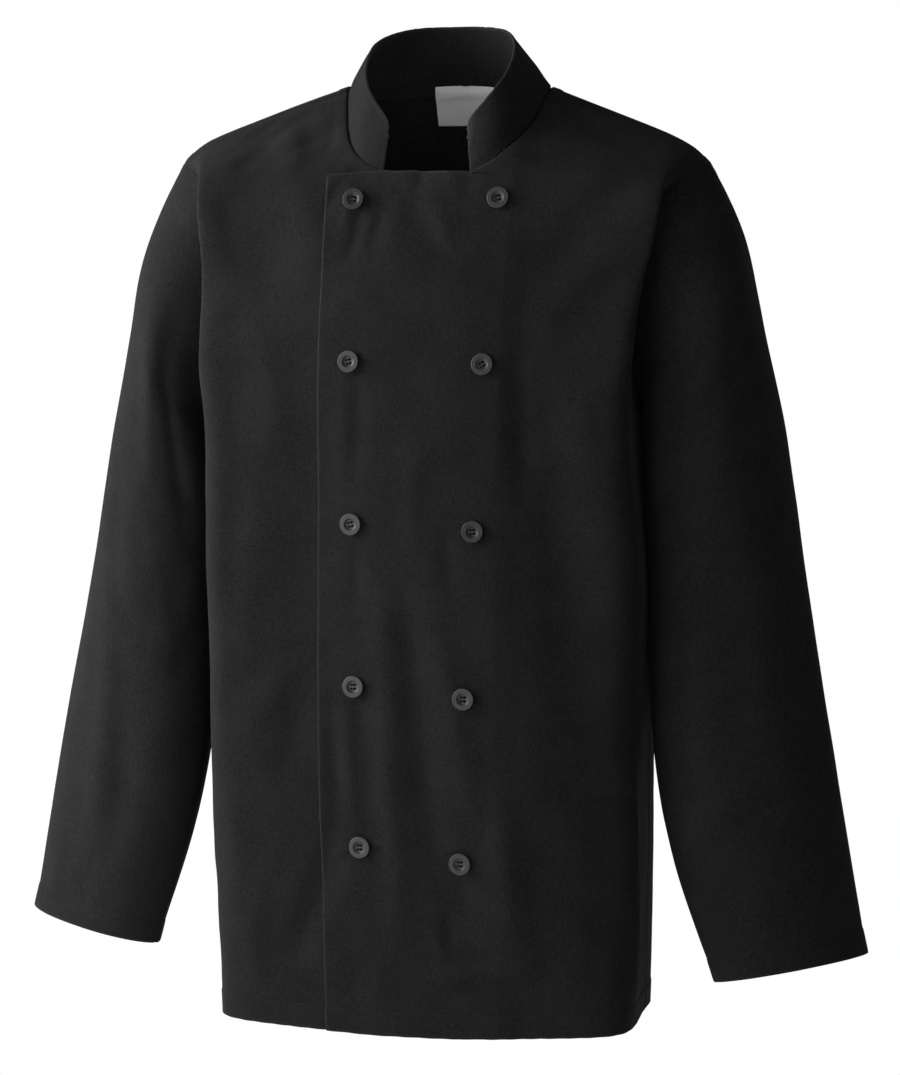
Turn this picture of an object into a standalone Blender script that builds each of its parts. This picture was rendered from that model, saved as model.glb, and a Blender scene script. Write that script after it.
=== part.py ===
"""A long-sleeved, double-breasted chef's jacket with a stand collar and ten buttons.

The cloth keeps the hollow shape that it has on a wearer: every panel is a thin wall, and the neck,
the hem and both cuffs are open. Run it with  blender --background --python part.py

Axes: +X is the wearer's left, -Y is the front and +Z is up. The origin is the middle of the neck,
level with the two points where the shoulder seams meet the collar. Sizes in the tables are in
millimetres, and MM turns them into Blender's metres.
"""

import bisect
import math

import bmesh
import bpy
import numpy as np
from mathutils import Matrix, Vector

MM = 0.001

# --- Driving dimensions -------------------------------------------------------------------------
CLOTH = 1.6  # wall of the fronts, back and sleeves
COLLAR_WALL = 2.6  # the collar is two layers and an interlining
SEAM_GAP = 0.3  # between two pieces that meet at a seam
LAYER_GAP = 0.6  # between the two fronts where they overlap
LIFT_RUN_OUT = 36.0  # the outer front comes back to the common surface over this length

HEM_Z = -770.0  # at the middle of the front
NECK_Z = -65.0  # the overlap's top edge, and the collar's front ends
EDGE_TOP_X = 84.5  # from the middle to the front edge of either front, at the top
EDGE_HEM_X = 75.0
COLLAR_END_X = 36.0  # from the middle to the collar's front end
UNDERLAP_DROP = 5.0  # the hidden front's top edge lies this much lower

BUTTON_DIAMETER = 18.0
BUTTON_THICK = 3.4
BUTTON_SEAT = 0.4  # from the cloth to the button's back
BUTTON_ROWS = 5
BUTTON_COLUMNS = (
    # side, x of the top button, x of the bottom one, z of the top button, pitch
    ("left", 62.5, 43.0, -84.0, 134.9),
    ("right", -58.5, -42.0, -87.0, 131.7),
)

LABEL_WIDTH = 52.0
LABEL_HEIGHT = 31.0
LABEL_WALL = 1.0
LABEL_GAP = 0.4
LABEL_TOP_SHARE = 0.06  # of its height, from the neck seam down to its top edge

# --- Tables: one row for each section ------------------------------------------------------------
# The front at its middle: height, how far forward it is, and how fast it rounds away (per mm).
FRONT_MIDDLE = (
    # z, forward, rounding
    (-768, 113, 0.0006),
    (-620, 118, 0.0006),
    (-480, 119, 0.0006),
    (-348, 111, 0.0007),
    (-215, 100, 0.0008),
    (-130, 83, 0.0011),
    (-65, 64, 0.0015),
)
BACK_MIDDLE = (
    # z, backward
    (-768, 92),
    (-600, 90),
    (-440, 88),
    (-300, 96),
    (-170, 100),
    (-70, 86),
    (-2, 62),
)
SIDE_SEAM = (
    # z, x, y
    (-768, 169, -6),
    (-620, 173, -7),
    (-480, 176, -6),
    (-360, 176, -3),
    (-262, 173, 0),
)
# The neck seam on the wearer's left, from the collar's front end to the middle of the back.
NECK_SEAM = (
    # angle, x, y, z
    (25, 36, -62, -65),
    (42, 52, -61, -57),
    (55, 63, -55, -48),
    (68, 72, -40, -37),
    (80, 79, -20, -23),
    (95, 85, 3, -1),
    (125, 74, 34, -3),
    (150, 46, 54, -3),
    (180, 0, 62, -2),
)
# The armhole seam on the wearer's left, all round from the shoulder's tip over the front.
ARMHOLE = (
    # angle, x, y, z
    (0, 225, -6, -60),
    (28, 203, -33, -72),
    (50, 186, -44, -88),
    (92, 173, -44, -142),
    (138, 170, -30, -216),
    (180, 173, 0, -262),
    (222, 177, 32, -220),
    (268, 187, 46, -148),
    (310, 200, 40, -96),
    (332, 211, 24, -75),
)
# Rows of a front panel, from the hem to the shoulder seam. "along" is the length up the side and
# the armhole, and fixes how the rows are spaced.
FRONT_ROWS = (
    # along, seam z, armhole angle, middle z, neck angle, corner x, corner y, corner z, side pull, middle pull
    (0, -757, 180, -770, 25, 180, None, -764, 0.66, 0.50),
    (148, -616, 180, -622, 25, 184, None, -620, 0.66, 0.50),
    (288, -478, 180, -480, 25, 186, None, -480, 0.66, 0.52),
    (408, -360, 180, -360, 25, 190, None, -360, 0.68, 0.60),
    (506, -262, 180, -262, 25, 190, None, -262, 0.70, 0.72),
    (566, -262, 138, -200, 25, 193, None, -204, 0.78, 0.78),
    (642, -262, 92, -130, 25, 198, None, -132, 0.84, 0.78),
    (700, -262, 50, -65, 25, 203, -62, -78, 0.80, 0.70),
    (730, -262, 28, -65, 60, 205, -42, -58, 0.70, 0.55),
    (772, -262, 0, -65, 95, 206, -3, -40, 0.60, 0.50),
)
BACK_ROWS = (
    (0, -757, 180, -770, 180, 158, None, -764, 0.55, 0.45),
    (148, -616, 180, -622, 180, 162, None, -620, 0.55, 0.45),
    (288, -478, 180, -480, 180, 168, None, -480, 0.55, 0.45),
    (408, -360, 180, -360, 180, 176, None, -360, 0.60, 0.45),
    (506, -262, 180, -262, 180, 181, None, -262, 0.60, 0.45),
    (566, -262, 222, -190, 180, 187, None, -196, 0.62, 0.44),
    (642, -262, 268, -100, 180, 193, None, -112, 0.62, 0.43),
    (700, -262, 310, -2, 180, 198, 55, -58, 0.58, 0.44),
    (730, -262, 332, -2, 130, 203, 30, -46, 0.60, 0.50),
    (772, -262, 360, -2, 95, 206, -3, -40, 0.60, 0.50),
)
SLEEVE_AXIS = (0.25, 0, -1)  # roughly down the left sleeve
LEFT_CUFF_RISE = -4.0  # the wearer's left sleeve hangs a little lower than the table says,
RIGHT_CUFF_RISE = 6.0  # and the right one a little higher
LEFT_PRESS = 8.0  # the left sleeve's inner side lies this much closer to the body below the elbow
RIGHT_PRESS = 0.0
PRESS_PLACE = 1.6  # above 1 puts the most pressed place lower down the sleeve
# Rings of the left sleeve below the armhole: its outer and inner point, and half its depth.
SLEEVE_RINGS = (
    # along, outer x, outer y, outer z, inner x, inner y, inner z, half depth
    (0.10, 250, -6, -112, 191, -3, -277, 54),
    (0.22, 268, -1, -188, 190, -8, -324, 60),
    (0.36, 284, 3, -268, 190, -14, -378, 59),
    (0.54, 303, 3, -387, 193, -28, -464, 54),
    (0.76, 330, -2, -543, 203, -48, -587, 45),
    (1.00, 358, -6, -697, 241, -50, -719, 33),
)
COLLAR_TOP = (
    # angle, x, y, z
    (25, 33, -59, -41),
    (30, 35, -59, -25),
    (37, 40.5, -57, -14),
    (47, 49, -52, -3),
    (59, 56.5, -43, 8.5),
    (71, 61, -31, 20),
    (83, 62, -19, 31),
    (95, 59, -6, 39.5),
    (107, 54.5, 4.5, 44.5),
    (118, 49, 16, 48),
    (132, 40, 28, 51),
    (156, 20, 39.5, 52.8),
    (180, 0, 43, 53.2),
)

# --- How finely each piece is cut up --------------------------------------------------------------
ROWS_BELOW_UNDERARM = 9
ROWS_TO_NECK = 7
ROWS_TO_SHOULDER = 7
ROW_CROWDING = 1.25  # above 1 brings the rows closer together at the neck's front and back
ACROSS_PANEL = 12
CORNER_CROWDING = 0.055  # how much closer together a panel's columns are at its corner
ACROSS_OVERLAP = 6
DOWN_SLEEVE = 15
SLEEVE_CROWDING = 1.1  # above 1 brings the rings closer together at the armhole
UP_COLLAR = 3
BUTTON_STEPS = 18

UNDERARM_ROW = 4  # rows of the two panel tables
NECK_ROW = 7
ACUTE = 0.3  # below this sine, an edge's run and its seam's plane are too close to draw it in
SHARPEST_MITRE = 0.6  # a wall's end is never longer than the wall's thickness over this


# --- Curves ---------------------------------------------------------------------------------------
def spline(table, at):
    """Natural cubic spline through the rows of a table, whose first column is the place."""
    rows = np.array(table, float)
    x, y = rows[:, 0], rows[:, 1:]
    gap = np.diff(x)
    slope = np.diff(y, axis=0) / gap[:, None]
    count = len(x)
    matrix = np.eye(count)
    right = np.zeros_like(y)
    for i in range(1, count - 1):
        matrix[i, i - 1 : i + 2] = gap[i - 1], 2 * (gap[i - 1] + gap[i]), gap[i]
        right[i] = 6 * (slope[i] - slope[i - 1])
    bend = np.linalg.solve(matrix, right)
    i = min(max(bisect.bisect_right(list(x), at) - 1, 0), count - 2)
    a, b = (x[i + 1] - at) / gap[i], (at - x[i]) / gap[i]
    cubic = ((a**3 - a) * bend[i] + (b**3 - b) * bend[i + 1]) * gap[i] ** 2 / 6
    return a * y[i] + b * y[i + 1] + cubic


def steady(table, column, at):
    """One column of a table as a smooth curve that never runs past its rows' values."""
    x = [row[0] for row in table]
    y = [row[column] for row in table]
    slopes = [(y[k + 1] - y[k]) / (x[k + 1] - x[k]) for k in range(len(x) - 1)]
    i = min(max(bisect.bisect_right(x, at) - 1, 0), len(x) - 2)

    def tangent(k):
        if k == 0 or k == len(x) - 1:
            return slopes[min(k, len(slopes) - 1)]
        before, after = slopes[k - 1], slopes[k]
        return 0.0 if before * after <= 0 else 2 * before * after / (before + after)

    gap = x[i + 1] - x[i]
    t = (at - x[i]) / gap
    rise = y[i] * (2 * t**3 - 3 * t**2 + 1) + y[i + 1] * (3 * t**2 - 2 * t**3)
    lean = tangent(i) * (t**3 - 2 * t**2 + t) + tangent(i + 1) * (t**3 - t**2)
    return rise + lean * gap


def ease(value, low, high):
    """0 at low, 1 at high, and smooth between them."""
    t = min(max((value - low) / (high - low), 0.0), 1.0)
    return t * t * (3 - 2 * t)


def section(start, corner, end, start_pull, end_pull):
    """A curve that leaves its start and its end towards the corner, and rounds it. A pull near 1
    brings it close to the corner. It is a clamped cubic B-spline, as two Bezier curves."""
    q1 = start + (corner - start) * start_pull
    q3 = end + (corner - end) * end_pull
    j1, j2 = (q1 + corner) / 2, (corner + q3) / 2
    joint = (j1 + j2) / 2
    t = np.linspace(0, 1, 41)[:, None]
    basis = ((1 - t) ** 3, 3 * (1 - t) ** 2 * t, 3 * (1 - t) * t * t, t**3)
    halves = []
    for points in ((start, q1, j1, joint), (joint, j2, q3, end)):
        halves.append(sum(b * p for b, p in zip(basis, points)))
    return np.concatenate([halves[0], halves[1][1:]])


def along_line(line, shares):
    """Points at the given shares of a line's length."""
    length = np.concatenate([[0], np.cumsum(np.linalg.norm(np.diff(line, axis=0), axis=1))])
    places = np.array(shares) * length[-1]
    return np.stack([np.interp(places, length, line[:, k]) for k in range(3)], axis=1)


# --- Seams ----------------------------------------------------------------------------------------
def neck_point(angle):
    """The neck seam, carried past the middle of the back so that it is smooth there."""
    far = [(360 - a, -x, y, z) for a, x, y, z in reversed(NECK_SEAM[:-1])]
    return spline([*NECK_SEAM, *far], angle)


def armhole_point(angle):
    before = [(row[0] - 360, *row[1:]) for row in ARMHOLE]
    after = [(row[0] + 360, *row[1:]) for row in ARMHOLE]
    return spline([*before, *ARMHOLE, *after], angle % 360)


def side_point(z):
    x, y = spline(SIDE_SEAM, z)
    return np.array((x, y, z))


def front_middle_point(x, z):
    forward, rounding = spline(FRONT_MIDDLE, z)
    return np.array((x, rounding * x * x - forward, z))


def back_middle_point(x, z):
    return np.array((x, spline(BACK_MIDDLE, z)[0], z))


# --- The outer faces of the cloth, as grids of points ----------------------------------------------
# Rows of a grid run upwards and its columns anticlockwise, seen from above, so that a grid's
# faces point out. A sleeve's rows run downwards and its columns clockwise, which does the same.
def panel_line(rows, along, middle_x, middle_point):
    """One level of a half panel, from the side seam or armhole to the middle or the neck seam."""
    seam_z, arm_angle, middle_z, neck_angle = (steady(rows, k, along) for k in (1, 2, 3, 4))
    below = along < rows[UNDERARM_ROW][0]
    start = side_point(seam_z) if below else armhole_point(arm_angle)
    on_neck = along > rows[NECK_ROW][0] - 1e-6
    end = neck_point(neck_angle) if on_neck else middle_point(middle_x, middle_z)
    corners = []
    for row in rows:
        x, y, z, side_pull, middle_pull = row[5:]
        if y is None:
            near, next_to = middle_point(middle_x, row[3]), middle_point(middle_x + 1, row[3])
            y = near[1] + (next_to[1] - near[1]) * (x - middle_x)
        corners.append((row[0], x, y, z, side_pull, middle_pull))
    values = spline(corners, along)
    return section(start, values[:3], end, values[3], values[4])


def front_line(along):
    return panel_line(FRONT_ROWS, along, COLLAR_END_X, front_middle_point)


def back_line(along):
    return panel_line(BACK_ROWS, along, 0.0, back_middle_point)


def row_places(rows):
    """Where each row of a panel lies, closer together from the underarm to the shoulder."""
    under, neck, top = rows[UNDERARM_ROW][0], rows[NECK_ROW][0], rows[-1][0]
    to_shoulder = [(k / ROWS_TO_SHOULDER) ** ROW_CROWDING for k in range(ROWS_TO_SHOULDER + 1)]
    return [
        *np.linspace(0, under, ROWS_BELOW_UNDERARM + 1)[:-1],
        *np.linspace(under, neck, ROWS_TO_NECK + 1)[:-1],
        *[neck + (top - neck) * share for share in to_shoulder],
    ]


def column_shares():
    """Columns from the side to the middle, closer together where a panel turns its corner."""
    even = np.linspace(0, 1, ACROSS_PANEL + 1)
    return even - CORNER_CROWDING * np.sin(2 * math.pi * even)


def left_half(line, rows):
    """A half panel on the wearer's left, each row from the side to the middle."""
    return np.array([along_line(line(a), column_shares()) for a in row_places(rows)])


def edge_x(z):
    """How far from the middle the front edges are: they come closer towards the hem."""
    return float(np.interp(z, (HEM_Z, NECK_Z), (EDGE_HEM_X, EDGE_TOP_X)))


def front_surface(x, z):
    """The fronts' common surface at any place near the middle, on either side."""
    if abs(x) <= COLLAR_END_X:
        return front_middle_point(x, z)
    places = np.linspace(0, FRONT_ROWS[NECK_ROW][0], 281)
    heights = [steady(FRONT_ROWS, 3, place) for place in places]
    line = front_line(float(np.interp(z, heights, places)))[::-1]
    line = line[: int(np.argmax(line[:, 0])) + 1]
    y, height = (float(np.interp(abs(x), line[:, 0], line[:, k])) for k in (1, 2))
    return np.array((x, y, height))


def overlap_grid(panel, drop):
    """What carries the wearer's left front on from its panel, past the middle, to its front edge.
    Its top edge is lower than the collar's ends by the drop."""
    rows = []
    for i in range(ROWS_BELOW_UNDERARM + ROWS_TO_NECK + 1):
        row = [panel[i][0]]
        z = row[0][2]
        lower = drop * max(0.0, (i - ROWS_BELOW_UNDERARM) / ROWS_TO_NECK)
        for share in np.linspace(0, 1, ACROSS_OVERLAP + 1)[1:]:
            x = COLLAR_END_X - (COLLAR_END_X + edge_x(z)) * share
            row.append(front_surface(x, z - lower))
        rows.append(row[::-1])
    return np.array(rows)


def sleeve_ring_point(row, angle, press):
    """A point of the oval ring that one row of the sleeve's table gives, with its inner side
    pressed towards the body."""
    outer, inner, depth = np.array(row[1:4]), np.array(row[4:7], float), row[7]
    inner[0] -= press * math.sin(math.pi * row[0] ** PRESS_PLACE) ** 2
    middle, half = (outer + inner) / 2, (outer - inner) / 2
    forward = np.cross(SLEEVE_AXIS, half)
    forward /= np.linalg.norm(forward)
    turn = math.radians(angle)
    return middle + half * math.cos(turn) + forward * depth * math.sin(turn)


def sleeve_grid(cuff_rise, press):
    """The left sleeve, with its cuff raised. Its columns start where the panels' rows meet the
    armhole."""
    above = ROWS_BELOW_UNDERARM
    front = [steady(FRONT_ROWS, 2, a) for a in row_places(FRONT_ROWS)[above:]]
    back = [steady(BACK_ROWS, 2, a) for a in row_places(BACK_ROWS)[above:]]
    shares = np.linspace(0, 1, DOWN_SLEEVE + 1) ** SLEEVE_CROWDING
    columns = []
    for angle in [*front[::-1], *back[1:]]:
        table = [(0.0, *armhole_point(angle))]
        table += [(row[0], *sleeve_ring_point(row, angle, press)) for row in SLEEVE_RINGS]
        raised = [(0, 0, cuff_rise * share**2) for share in shares]
        columns.append([spline(table, share) + rise for share, rise in zip(shares, raised)])
    return np.array(columns).transpose(1, 0, 2)


def collar_angles():
    """Where the panels' rows meet the neck seam, from the collar's left end to its right end."""
    above = ROWS_BELOW_UNDERARM + ROWS_TO_NECK
    front = [steady(FRONT_ROWS, 4, a) for a in row_places(FRONT_ROWS)[above:]]
    back = [steady(BACK_ROWS, 4, a) for a in row_places(BACK_ROWS)[above:]]
    left = [*front, *back[::-1][1:]]
    return [*left, *[360 - a for a in left[::-1][1:]]]


def collar_grid():
    """The collar, whose rows run from the neck seam to its free edge."""
    rows = []
    for share in np.linspace(0, 1, UP_COLLAR + 1):
        row = []
        for angle in collar_angles():
            base = neck_point(angle)
            x, y, z = spline(COLLAR_TOP, min(angle, 360 - angle))
            free = np.array((x if angle <= 180 else -x, y, z))
            row.append(base + (free - base) * share)
        rows.append(row)
    return np.array(rows)


def mirrored(grid):
    """The same grid on the wearer's other side, still facing out."""
    return grid[:, ::-1] * np.array((-1, 1, 1))


# --- From a surface to cloth with a thickness ------------------------------------------------------
def place_key(point):
    """The same for two points within rounding of each other. The shift keeps round numbers away
    from the steps between keys."""
    return tuple(math.floor(value * 200 + 0.3819) for value in point)


def corners_of(grid):
    """The four corners of each of a grid's faces, anticlockwise seen from outside."""
    for i in range(len(grid) - 1):
        for j in range(len(grid[0]) - 1):
            yield grid[i][j], grid[i][j + 1], grid[i + 1][j + 1], grid[i + 1][j]


def outward_directions(sheets):
    """The direction out of the cloth at each point, which all the pieces there share. Each sheet
    is a list of grids that run on into each other, and where two sheets meet the direction lies
    midway between theirs, so that both walls end on one plane."""
    shared = {}
    for grids in sheets:
        total = {}
        for grid in grids:
            for corners in corners_of(grid):
                a, b, c, d = corners
                facing = np.cross(c - a, d - b)
                for point in corners:
                    total[place_key(point)] = total.get(place_key(point), 0) + facing
        for key, value in total.items():
            shared[key] = shared.get(key, 0) + value / np.linalg.norm(value)
    return {key: value / np.linalg.norm(value) for key, value in shared.items()}


def lift(point):
    """How far the wearer's left front lies above the common surface, to clear the right front. It
    runs out beyond the right front's edge, and above it along the neck seam."""
    x, y, z = point
    if y > 0:
        return 0.0
    across = 1 - ease(x, EDGE_TOP_X + 1, EDGE_TOP_X + LIFT_RUN_OUT)
    up = 1 - ease(z, NECK_Z + 12, NECK_Z + 12 + LIFT_RUN_OUT)
    return (CLOTH + LAYER_GAP) * across * up


def cloth(name, grids, directions, thickness, raised=None):
    """A closed wall inside the given outer grids. Its edges are drawn in by half a seam's gap, and
    raised gives how far a point stands out from the common surface."""
    places, faces = {}, []
    for grid in grids:
        for corners in corners_of(grid):
            keys = [place_key(point) for point in corners]
            if len(set(keys)) > 2:
                places.update(zip(keys, corners))
                faces.append(list(dict.fromkeys(keys)))
    sides = {}
    for face in faces:
        for a, b in zip(face, face[1:] + face[:1]):
            sides[(a, b)] = face
    edges = [pair for pair in sides if (pair[1], pair[0]) not in sides]
    own = outward_directions([grids])

    inwards = {}
    for a, b in edges:
        run = places[b] - places[a]
        across = np.cross(own[a] + own[b], run)
        across /= np.linalg.norm(across)
        for key in (a, b):
            inwards.setdefault(key, []).append((across, run / np.linalg.norm(run)))

    mesh = bmesh.new()
    outer, inner = {}, {}
    for key, place in places.items():
        out = directions.get(key, own[key])
        point = place + out * (raised(place) if raised else 0.0)
        if key in inwards:
            first, last = inwards[key][0][0], inwards[key][-1][0]
            drawn_in = point + (first + last) / (1 + float(first @ last)) * (SEAM_GAP / 2)
            for across, run in inwards[key]:
                own_side = np.cross(out, run)
                size = np.linalg.norm(own_side)
                if size > ACUTE:
                    own_side *= math.copysign(1 / size, float(across @ own_side))
                    short = SEAM_GAP / 2 - float((drawn_in - point) @ own_side)
                    drawn_in = drawn_in + own_side * max(short, 0.0)
            point = drawn_in
        depth = thickness / max(float(out @ own[key]), SHARPEST_MITRE)
        outer[key] = mesh.verts.new(Vector(point) * MM)
        inner[key] = mesh.verts.new(Vector(point - out * depth) * MM)
    for face in faces:
        mesh.faces.new([outer[key] for key in face])
        mesh.faces.new([inner[key] for key in reversed(face)])
    for a, b in edges:
        mesh.faces.new([outer[b], outer[a], inner[a], inner[b]])
    bmesh.ops.triangulate(mesh, faces=mesh.faces[:], quad_method="SHORT_EDGE")
    return add_mesh(name, mesh)


# --- Objects --------------------------------------------------------------------------------------
def add_mesh(name, mesh):
    data = bpy.data.meshes.new(name)
    mesh.to_mesh(data)
    mesh.free()
    return add_object(name, data)


def add_object(name, data):
    item = bpy.data.objects.new(name, data)
    JACKET.objects.link(item)
    return item


def material(name, colour, roughness):
    made = bpy.data.materials.new(name)
    made.use_nodes = True
    shader = made.node_tree.nodes["Principled BSDF"]
    shader.inputs["Base Color"].default_value = (*colour, 1.0)
    shader.inputs["Roughness"].default_value = roughness
    shader.inputs["Metallic"].default_value = 0.0
    return made


def finish(item, look, smooth_angle=None):
    item.data.materials.clear()
    item.data.materials.append(look)
    if smooth_angle:
        item.data.shade_smooth()
        item.data.set_sharp_from_angle(angle=math.radians(smooth_angle))


def button_mesh():
    """A turned button with a rim that stands proud of its dished middle. It faces +Z, with the
    middle of its back at its origin."""
    radius, thick = BUTTON_DIAMETER / 2, BUTTON_THICK
    profile = (
        # radius, height: from the dish over the rim, down the side and under
        (0.0, 0.62 * thick),
        (0.50 * radius, 0.62 * thick),
        (0.70 * radius, 0.97 * thick),
        (0.86 * radius, thick),
        (radius, 0.62 * thick),
        (0.90 * radius, 0.12 * thick),
        (0.62 * radius, 0.0),
        (0.0, 0.0),
    )
    rows = []
    mesh = bmesh.new()
    for reach, height in profile:
        if reach == 0.0:
            rows.append([mesh.verts.new((0, 0, height * MM))])
            continue
        ring = []
        for step in range(BUTTON_STEPS):
            turn = 2 * math.pi * step / BUTTON_STEPS
            place = Vector((reach * math.cos(turn), reach * math.sin(turn), height))
            ring.append(mesh.verts.new(place * MM))
        rows.append(ring)
    for upper, lower in zip(rows, rows[1:]):
        for step in range(BUTTON_STEPS):
            following = (step + 1) % BUTTON_STEPS
            if len(upper) == 1:
                mesh.faces.new([upper[0], lower[step], lower[following]])
            elif len(lower) == 1:
                mesh.faces.new([upper[step], lower[0], upper[following]])
            else:
                mesh.faces.new([upper[step], lower[step], lower[following], upper[following]])
    data = bpy.data.meshes.new("button")
    mesh.to_mesh(data)
    mesh.free()
    return data


def add_buttons(look):
    """Two columns that come closer towards the hem, on the outside of the wearer's left front."""
    data = button_mesh()
    radius = BUTTON_DIAMETER / 2
    for side, top_x, bottom_x, top_z, pitch in BUTTON_COLUMNS:
        for row in range(BUTTON_ROWS):
            z = top_z - pitch * row
            x = top_x + (bottom_x - top_x) * row / (BUTTON_ROWS - 1)
            here = front_surface(x, z)
            rim = [front_surface(x + step, z) for step in (radius, -radius)]
            rim += [front_surface(x, z + step) for step in (radius, -radius)]
            facing = np.cross(rim[0] - rim[1], rim[2] - rim[3])
            facing /= np.linalg.norm(facing)
            proud = max(0.0, *[float((point - here) @ facing) for point in rim])
            item = add_object(f"button_{side}_{row + 1}", data)
            turn = Vector(facing).to_track_quat("Z", "Y").to_matrix().to_4x4()
            seat = here + facing * (lift(here) + proud + BUTTON_SEAT)
            item.matrix_world = Matrix.Translation(Vector(seat) * MM) @ turn
            finish(item, look, 40)


def label_grid(back, directions):
    """The label's inner face, which hangs from the neck seam just inside the back panel."""
    neck_row = ROWS_BELOW_UNDERARM + ROWS_TO_NECK
    top, below = back[neck_row], back[neck_row - 1]
    rows = []
    for x in (LABEL_WIDTH / 2, LABEL_WIDTH / 4, 0.0, -LABEL_WIDTH / 4, -LABEL_WIDTH / 2):
        column = []
        for share in (1.0, 0.5, LABEL_TOP_SHARE):
            ends = []
            for line in (top[::-1], below[::-1]):
                y, z = (float(np.interp(abs(x), line[:, 0], line[:, k])) for k in (1, 2))
                ends.append(np.array((x, y, z)))
            down = (ends[1] - ends[0]) / np.linalg.norm(ends[1] - ends[0])
            column.append(ends[0] + down * LABEL_HEIGHT * share)
        rows.append(column)
    facing = directions[place_key(top[ACROSS_PANEL])]
    grid = np.array(rows).transpose(1, 0, 2)
    return grid - facing * (CLOTH + LABEL_GAP)


def build():
    for item in list(bpy.data.objects):
        bpy.data.objects.remove(item)
    bpy.context.scene.collection.children.link(JACKET)
    black_cloth = material("black_cloth", (0.018, 0.018, 0.019), 0.85)
    button_plastic = material("button_plastic", (0.10, 0.10, 0.11), 0.35)
    label_cloth = material("label_cloth", (0.75, 0.75, 0.76), 0.8)

    front = left_half(front_line, FRONT_ROWS)[:, ::-1]
    back = left_half(back_line, BACK_ROWS)
    overlap, underlap = overlap_grid(front, 0.0), mirrored(overlap_grid(front, UNDERLAP_DROP))
    left_sleeve = sleeve_grid(LEFT_CUFF_RISE, LEFT_PRESS)
    right_sleeve = mirrored(sleeve_grid(RIGHT_CUFF_RISE, RIGHT_PRESS))
    collar = collar_grid()
    body = [front, mirrored(front), back, mirrored(back), overlap]
    directions = outward_directions([body, [left_sleeve], [right_sleeve], [collar]])

    finish(cloth("front_left", [front, overlap], directions, CLOTH, lift), black_cloth, 50)
    finish(cloth("front_right", [mirrored(front), underlap], directions, CLOTH), black_cloth, 50)
    finish(cloth("back", [back, mirrored(back)], directions, CLOTH), black_cloth, 50)
    finish(cloth("sleeve_left", [left_sleeve], directions, CLOTH), black_cloth, 50)
    finish(cloth("sleeve_right", [right_sleeve], directions, CLOTH), black_cloth, 50)
    finish(cloth("collar", [collar], directions, COLLAR_WALL), black_cloth, 50)
    label = label_grid(back, directions)
    finish(cloth("neck_label", [label], {}, LABEL_WALL), label_cloth)
    add_buttons(button_plastic)


JACKET = bpy.data.collections.new("chef_jacket")
build()
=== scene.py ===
"""Looks of a black chef's jacket: cloth, seams, stitches, buttonholes, buttons and label.

Sizes in the tables are in millimetres, in the CAD model's frame: +X is the wearer's left, -Y is the
front and +Z is up. MM turns them into Blender's metres.
"""

import math

import bmesh
import bpy
import numpy as np
from mathutils import Matrix, Vector
from mathutils.bvhtree import BVHTree
from mathutils.kdtree import KDTree


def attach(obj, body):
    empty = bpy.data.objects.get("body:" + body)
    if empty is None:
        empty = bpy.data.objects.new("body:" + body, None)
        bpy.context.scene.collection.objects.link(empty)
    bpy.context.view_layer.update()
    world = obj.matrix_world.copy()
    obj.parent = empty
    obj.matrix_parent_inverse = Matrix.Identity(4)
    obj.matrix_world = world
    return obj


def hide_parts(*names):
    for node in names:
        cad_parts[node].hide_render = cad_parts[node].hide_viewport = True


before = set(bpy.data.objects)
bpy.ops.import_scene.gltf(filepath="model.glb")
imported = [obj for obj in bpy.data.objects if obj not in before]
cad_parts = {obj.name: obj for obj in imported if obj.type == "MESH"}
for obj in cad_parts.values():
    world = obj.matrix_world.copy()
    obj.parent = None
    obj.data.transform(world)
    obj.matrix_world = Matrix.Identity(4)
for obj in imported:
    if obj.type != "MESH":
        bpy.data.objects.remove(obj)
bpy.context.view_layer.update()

MM = 0.001

# --- The jacket's cut, as in the CAD model --------------------------------------------------------
CLOTH = 1.6  # the walls' thickness
LAYER_GAP = 0.6  # between the two fronts
HEM_Z = -770.0
NECK_Z = -65.0  # the neck seam in front
EDGE_TOP_X = 84.5  # the left front's edge lies this far past the middle at the neck
EDGE_HEM_X = 75.0  # and at the hem
COLLAR_END_X = 36.0  # the collar ends this far from the middle on each side
UNDERLAP_DROP = 5.0  # the hidden front's top edge lies this much lower
BUTTON_DIAMETER = 18.0
BUTTON_SEAT = 0.4  # above the highest cloth beneath a button
BUTTON_ROWS = 5
BUTTON_COLUMNS = (
    # side, x of the top button, x of the bottom one, z of the top button, pitch
    ("left", 62.5, 43.0, -84.0, 134.9),
    ("right", -58.5, -42.0, -87.0, 131.7),
)
LABEL_WIDTH = 52.0
LABEL_HEIGHT = 34.0
LABEL_TOP = -4.5  # it laps over the collar's seam
LABEL_THICK = 0.45

FRONT_MIDDLE = (
    # z, forward, rounding
    (-768, 113, 0.0006),
    (-620, 118, 0.0006),
    (-480, 119, 0.0006),
    (-348, 111, 0.0007),
    (-215, 100, 0.0008),
    (-130, 83, 0.0011),
    (-65, 64, 0.0015),
)
BACK_MIDDLE = (
    # z, backward
    (-768, 92),
    (-600, 90),
    (-440, 88),
    (-300, 96),
    (-170, 100),
    (-70, 86),
    (-2, 62),
)
SIDE_SEAM = (
    # z, x, y
    (-768, 169, -6),
    (-620, 173, -7),
    (-480, 176, -6),
    (-360, 176, -3),
    (-262, 173, 0),
)
NECK_SEAM = (
    # angle, x, y, z
    (25, 36, -62, -65),
    (42, 52, -61, -57),
    (55, 63, -55, -48),
    (68, 72, -40, -37),
    (80, 79, -20, -23),
    (95, 85, 3, -1),
    (125, 74, 34, -3),
    (150, 46, 54, -3),
    (180, 0, 62, -2),
)
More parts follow.
